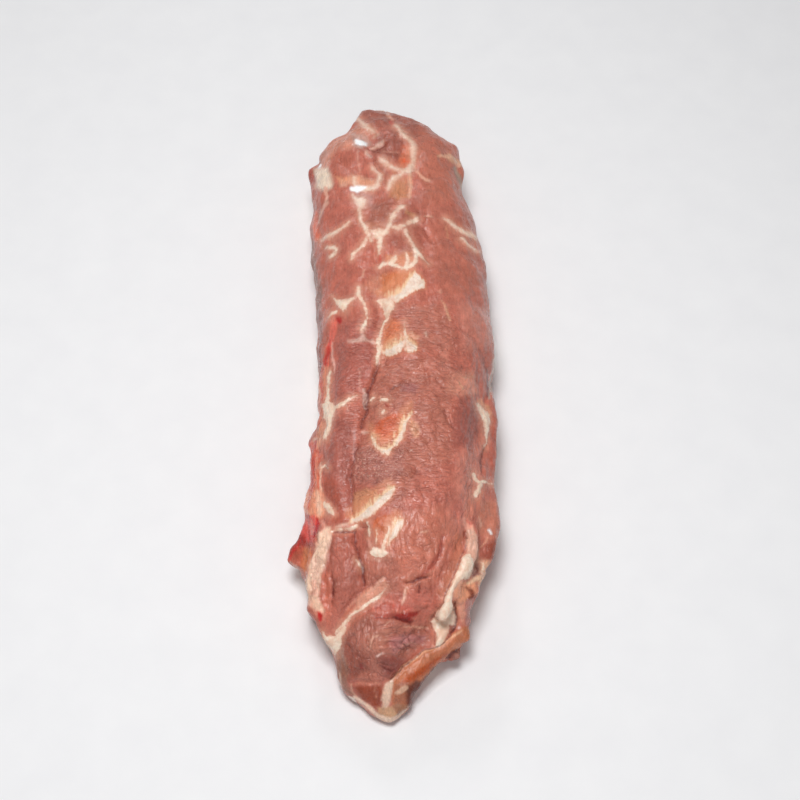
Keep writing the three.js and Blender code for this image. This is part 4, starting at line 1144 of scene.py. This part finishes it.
class Finish:
    """Builds a material one node at a time."""

    def __init__(self, name):
        self.material = bpy.data.materials.new(name)
        self.material.use_nodes = True
        self.tree = self.material.node_tree
        self.tree.nodes.clear()

    def feed(self, socket, value):
        """Gives a socket a number or colour, or links it to another node's output."""
        if isinstance(value, bpy.types.NodeSocket):
            self.tree.links.new(value, socket)
        else:
            socket.default_value = value

    def node(self, kind, sockets=None, **settings):
        """A new node with its settings made and its sockets fed."""
        node = self.tree.nodes.new(kind)
        for name, value in settings.items():
            setattr(node, name, value)
        for name, value in (sockets or {}).items():
            self.feed(node.inputs[name], value)
        return node

    def place(self):
        """Where a point is on the object itself, in metres."""
        return self.node("ShaderNodeTexCoord").outputs["Object"]

    def reading(self, name, output="Fac"):
        """A number or colour stored on the mesh."""
        return self.node("ShaderNodeAttribute", attribute_name=name).outputs[output]

    def calc(self, operation, first, second=0.0, third=0.0):
        """A sum on numbers, such as ADD or MAXIMUM."""
        sockets = {0: first, 1: second, 2: third}
        return self.node("ShaderNodeMath", sockets, operation=operation).outputs[0]

    def times(self, first, second):
        return self.calc("MULTIPLY", first, second)

    def times_plus(self, first, second, third):
        return self.calc("MULTIPLY_ADD", first, second, third)

    def off_middle(self, value, middle):
        """How far value is from middle, to either side."""
        return self.calc("ABSOLUTE", self.calc("SUBTRACT", value, middle))

    def blend(self, share, below, above, blend_type="MIX"):
        """One colour laid over another."""
        sockets = {0: share, 6: below, 7: above}
        return self.node("ShaderNodeMix", sockets, data_type="RGBA", blend_type=blend_type).outputs[2]

    def rise(self, value, start, end, low=0.0, high=1.0):
        """low before start, high after end, and smooth between them."""
        sockets = {"Value": value, "From Min": start, "From Max": end, "To Min": low, "To Max": high}
        return self.node("ShaderNodeMapRange", sockets, interpolation_type="SMOOTHSTEP").outputs["Result"]

    def towards_far_end(self, place, start, end, low, high):
        """low near the tip's side of start, high beyond end, both measured along the meat."""
        lengthwise = self.node("ShaderNodeSeparateXYZ", {"Vector": place}).outputs["Y"]
        return self.rise(lengthwise, start, end, low, high)

    def stretched(self, place, scale):
        """Places drawn out along an axis, for noises that run in streaks."""
        return self.node("ShaderNodeMapping", {"Vector": place, "Scale": scale}).outputs["Vector"]

    def noise(self, place, scale, detail=2.0, roughness=0.5, distortion=0.0):
        """Soft noise from 0 to 1."""
        sockets = {
            "Vector": place,
            "Scale": scale,
            "Detail": detail,
            "Roughness": roughness,
            "Distortion": distortion,
        }
        return self.node("ShaderNodeTexNoise", sockets).outputs["Fac"]

    def done(self, shader):
        """The finished material."""
        self.node("ShaderNodeOutputMaterial", {"Surface": shader.outputs["BSDF"]})
        return self.material


def near_middle(finish, value, middle, width):
    """1 where value is at its middle, falling to 0 a width away."""
    return finish.rise(finish.off_middle(value, middle), width, 0.0)


def both_ways(finish, lengthwise, crosswise):
    """Runs lengthwise, except where the flesh is wrinkled from side to side."""
    share = finish.reading("across")
    kept = finish.times(lengthwise, finish.calc("SUBTRACT", 1.0, share))
    return finish.times_plus(crosswise, share, kept)


def grain(finish, place, scale, detail):
    """Soft streaks along the fibres of the muscle."""
    lengthwise = finish.noise(finish.stretched(place, (1.0, 0.2, 1.0)), scale, detail, 0.6, 0.3)
    crosswise = finish.noise(finish.stretched(place, (0.32, 1.0, 1.0)), scale, detail, 0.6, 0.5)
    return both_ways(finish, lengthwise, crosswise)


def wrinkling(finish):
    """How strongly the flesh is wrinkled, from a little everywhere to 1."""
    strength = finish.calc("MAXIMUM", finish.reading("across"), finish.reading("along"))
    return finish.rise(strength, 0.0, 1.0, 0.2, 1.0)


def winding_lines(finish, place, strength):
    """Fine dark lines that wind over the flesh, and broken stretches of the larger folds' valleys: painted
    shade along the valleys of the wrinkles and folds, also used for the fine relief.
    """
    fine = near_middle(finish, grain(finish, place, WRINKLE_SCALE, 1.0), 0.5, 0.035)
    finer = near_middle(finish, grain(finish, place, FINE_WRINKLE_SCALE, 1.0), 0.5, 0.04)
    fine = finish.times(finish.calc("MAXIMUM", fine, finish.times(finer, 0.4)), strength)
    patchy = finish.rise(finish.noise(place, VALLEY_SCALE), 0.38, 0.62)
    valleys = near_middle(finish, finish.reading("fold_wave"), 0.04, 0.16)
    valleys = finish.times(finish.times(valleys, patchy), strength)
    return finish.calc("MAXIMUM", finish.times(fine, 0.6), finish.times(valleys, 0.8))


def toned(finish, colour, noise, tones):
    """A colour darkened and lightened between two tones by a noise."""
    return finish.blend(1.0, colour, finish.rise(noise, *NOISE_RANGE, *tones), "MULTIPLY")


def flesh_colour(finish, place, lines, fibres, specks):
    """Muscle: the washes, mottled, with fibres, fine dark lines of painted shade in the wrinkles' valleys,
    and pale specks of fat with small painted glints.
    """
    mottle = finish.noise(place, MOTTLE_SCALE, 5.0, 0.65)
    flesh = toned(finish, finish.reading("wash", "Color"), mottle, MOTTLE_TONES)
    flesh = toned(finish, flesh, fibres, FIBRE_TONES)
    flesh = toned(finish, flesh, grain(finish, place, THREAD_SCALE, 2.0), THREAD_TONES)
    # Painted shade along the valleys of the wrinkles and folds
    flesh = finish.blend(finish.times(lines, 0.42), flesh, opaque(VALLEY_SHADE_RED))
    # Pale specks of fat, partly painted glints
    return finish.blend(finish.times(specks, 0.6), flesh, opaque(SPECK_AND_GLINT_PINK))


def patched(finish, place, scale, colours):
    """Two colours that change in patches."""
    patch = finish.rise(finish.noise(place, scale, 3.0, 0.65), *PATCH_RANGE)
    return finish.blend(patch, *[opaque(colour) for colour in colours])


def torn_rims(finish, place, colour):
    """The white rims of the thin fans of fat, fading upwards in streaks through cream to orange."""
    streaks = finish.noise(finish.stretched(place, (1.0, 0.12, 1.0)), STREAK_SCALE, 2.0, 0.6)
    streaks = finish.calc("SUBTRACT", streaks, 0.5)
    core, frayed = finish.reading("rim_core"), finish.reading("rim_frayed")
    inside = finish.rise(finish.times_plus(streaks, 5.0, frayed), 1.5, -1.0)
    above = finish.times_plus(streaks, 13.0, core)
    colour = finish.blend(finish.rise(frayed, 6.0, -1.0, 0.0, 0.5), colour, opaque(RIM_ORANGE))
    cream = finish.times(inside, finish.rise(above, 6.5, 0.5, 0.0, 0.9))
    colour = finish.blend(cream, colour, opaque(RIM_CREAM))
    crisp = finish.rise(finish.times_plus(streaks, 5.0, core), 1.8, -1.4)
    return finish.blend(crisp, colour, patched(finish, place, RIM_PATCH_SCALE, RIM_WHITES))


def fat_colour(finish, place):
    """Fat: cream, whiter and yellower in places, with some of the flesh showing through."""
    cream = patched(finish, place, FAT_PATCH_SCALE, FAT_CREAMS)
    thin = finish.towards_far_end(place, 0.02, 0.1, 0.1, 0.3)
    return finish.blend(thin, cream, finish.reading("wash", "Color"))


def stringed(finish, place, colour):
    """Fat strings and pads over the flesh, with a faint veil round them, and softer towards the far end."""
    ragged = finish.calc("SUBTRACT", finish.noise(place, FAT_EDGE_SCALE, 3.0, 0.65), 0.5)
    edge = finish.times_plus(ragged, 3.5, finish.reading("fat_gap"))
    soft = finish.towards_far_end(place, 0.01, 0.1, 1.0, 2.6)
    colour = finish.blend(finish.rise(edge, 7.0, 0.0, 0.0, 0.42), colour, opaque(VEIL_PINK))
    cover = finish.rise(finish.calc("DIVIDE", edge, soft), 1.0, -0.9)
    return finish.blend(cover, colour, fat_colour(finish, place))


def crease_shaded(finish, place, colour):
    """Painted shade in the drawn creases, dark and a little ragged."""
    noise = finish.noise(place, CREASE_EDGE_SCALE)
    ragged = finish.times_plus(noise, 1.6, finish.reading("crease_gap"))
    # Painted shade in the creases
    return finish.blend(finish.rise(ragged, 2.2, -0.1, 0.0, 0.84), colour, opaque(CREASE_SHADE_BROWN))


def fine_relief(finish, place, lines, fine, fibres, strength):
    """Fibres, wrinkles and lines too fine for the mesh, as the way that the surface faces."""
    wrinkles = finish.times(finish.off_middle(grain(finish, place, WRINKLE_SCALE, 1.0), 0.5), strength)
    height = finish.times_plus(lines, -0.3, finish.times(fine, 0.3))
    height = finish.times_plus(fibres, 0.4, height)
    height = finish.times_plus(wrinkles, 1.2, height)
    height = finish.times(height, finish.towards_far_end(place, 0.0, 0.08, 1.0, 0.6))
    sockets = {"Height": height, "Strength": 1.0, "Distance": BUMP_HEIGHT}
    return finish.node("ShaderNodeBump", sockets).outputs["Normal"]


def wet_roughness(finish, place, glint):
    """The wet film: uneven, a little duller towards the far end, and smoothest in the glints."""
    gloss = finish.rise(finish.noise(place, GLOSS_SCALE), *NOISE_RANGE, 0.18, 0.34)
    gloss = finish.calc("ADD", gloss, finish.towards_far_end(place, 0.0, 0.08, 0.0, 0.08))
    return finish.times(gloss, finish.rise(glint, 0.0, 1.0, 1.0, 0.4))


def meat_finish():
    """Moist raw flesh with cream fat, thin membranes and a wet film."""
    finish = Finish("raw_pork")
    place = finish.place()
    fibres = grain(finish, place, FIBRE_SCALE, 3.0)
    strength = wrinkling(finish)
    lines = winding_lines(finish, place, strength)
    fine = finish.noise(place, GRAIN_SCALE, 2.0, 0.6)
    specks = finish.times(finish.rise(fine, 0.55, 0.68), finish.reading("speckled"))
    glint = finish.reading("glint")

    flesh = flesh_colour(finish, place, lines, fibres, specks)
    colour = torn_rims(finish, place, finish.blend(1.0, flesh, FILM_TINT, "MULTIPLY"))
    colour = crease_shaded(finish, place, stringed(finish, place, colour))
    sockets = {
        # The glints are painted highlights: white laid into the base colour
        "Base Color": finish.blend(glint, colour, WHITE),
        "Roughness": wet_roughness(finish, place, glint),
        "Normal": fine_relief(finish, place, lines, fine, fibres, strength),
        "Subsurface Weight": 0.08,
        "Subsurface Radius": (1.0, 0.35, 0.25),
        "Subsurface Scale": 0.0015,
        "Specular IOR Level": 0.45,
    }
    return finish.done(finish.node("ShaderNodeBsdfPrincipled", sockets))


def floor_finish():
    """A pale matt floor with a faint grain."""
    finish = Finish("pale_floor")
    speckle = finish.noise(finish.place(), FLOOR_SCALE, 3.0, 0.5)
    colour = finish.blend(speckle, *[opaque(grey) for grey in FLOOR_GREYS])
    return finish.done(finish.node("ShaderNodeBsdfPrincipled", {"Base Color": colour, "Roughness": 0.8}))


def pale_floor():
    """A square floor just under the meat."""
    shape = bmesh.new()
    bmesh.ops.create_grid(shape, x_segments=1, y_segments=1, size=FLOOR_HALF)
    mesh = bpy.data.meshes.new("pale_floor")
    shape.to_mesh(mesh)
    shape.free()
    mesh.transform(Matrix.Translation((0.0, 0.0, -FLOOR_GAP)))
    floor = bpy.data.objects.new("pale_floor", mesh)
    bpy.context.scene.collection.objects.link(floor)
    mesh.materials.append(floor_finish())
    return floor


def softbox(name, place, target, size, power):
    """A flat studio light at place, turned to target."""
    light = bpy.data.lights.new(name, "AREA")
    light.shape = "RECTANGLE"
    light.size, light.size_y = size
    light.energy = power
    lamp = bpy.data.objects.new(name, light)
    lamp.location = place
    aim = Vector(target) - Vector(place)
    lamp.rotation_euler = aim.to_track_quat("-Z", "Y").to_euler()
    bpy.context.scene.collection.objects.link(lamp)


def studio_light():
    """Plain soft light: a large overhead box, a window behind and a weak fill in front."""
    for name, (place, target, size, power) in LIGHTS.items():
        softbox(name, place, target, size, power)
    world = bpy.data.worlds.new("pale_room")
    world.use_nodes = True
    background = world.node_tree.nodes["Background"]
    background.inputs["Color"].default_value = WHITE
    background.inputs["Strength"].default_value = ROOM_STRENGTH
    bpy.context.scene.world = world
    bpy.context.scene.view_settings.view_transform = "Standard"


def picture_camera():
    """The camera that looks at the meat as the picture does."""
    lens = bpy.data.cameras.new("picture_camera")
    lens.lens = LENS_MM
    lens.sensor_width = SENSOR_MM
    camera = bpy.data.objects.new("picture_camera", lens)
    camera.location = CAMERA_PLACE
    camera.rotation_euler = (math.pi / 2 - LOOK_DOWN, 0.0, 0.0)
    bpy.context.scene.collection.objects.link(camera)
    bpy.context.scene.camera = camera


meat = dressed_meat()
meat.data.materials.clear()
meat.data.materials.append(meat_finish())
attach(meat, "root")
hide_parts("tenderloin")

pale_floor()
studio_light()
picture_camera()
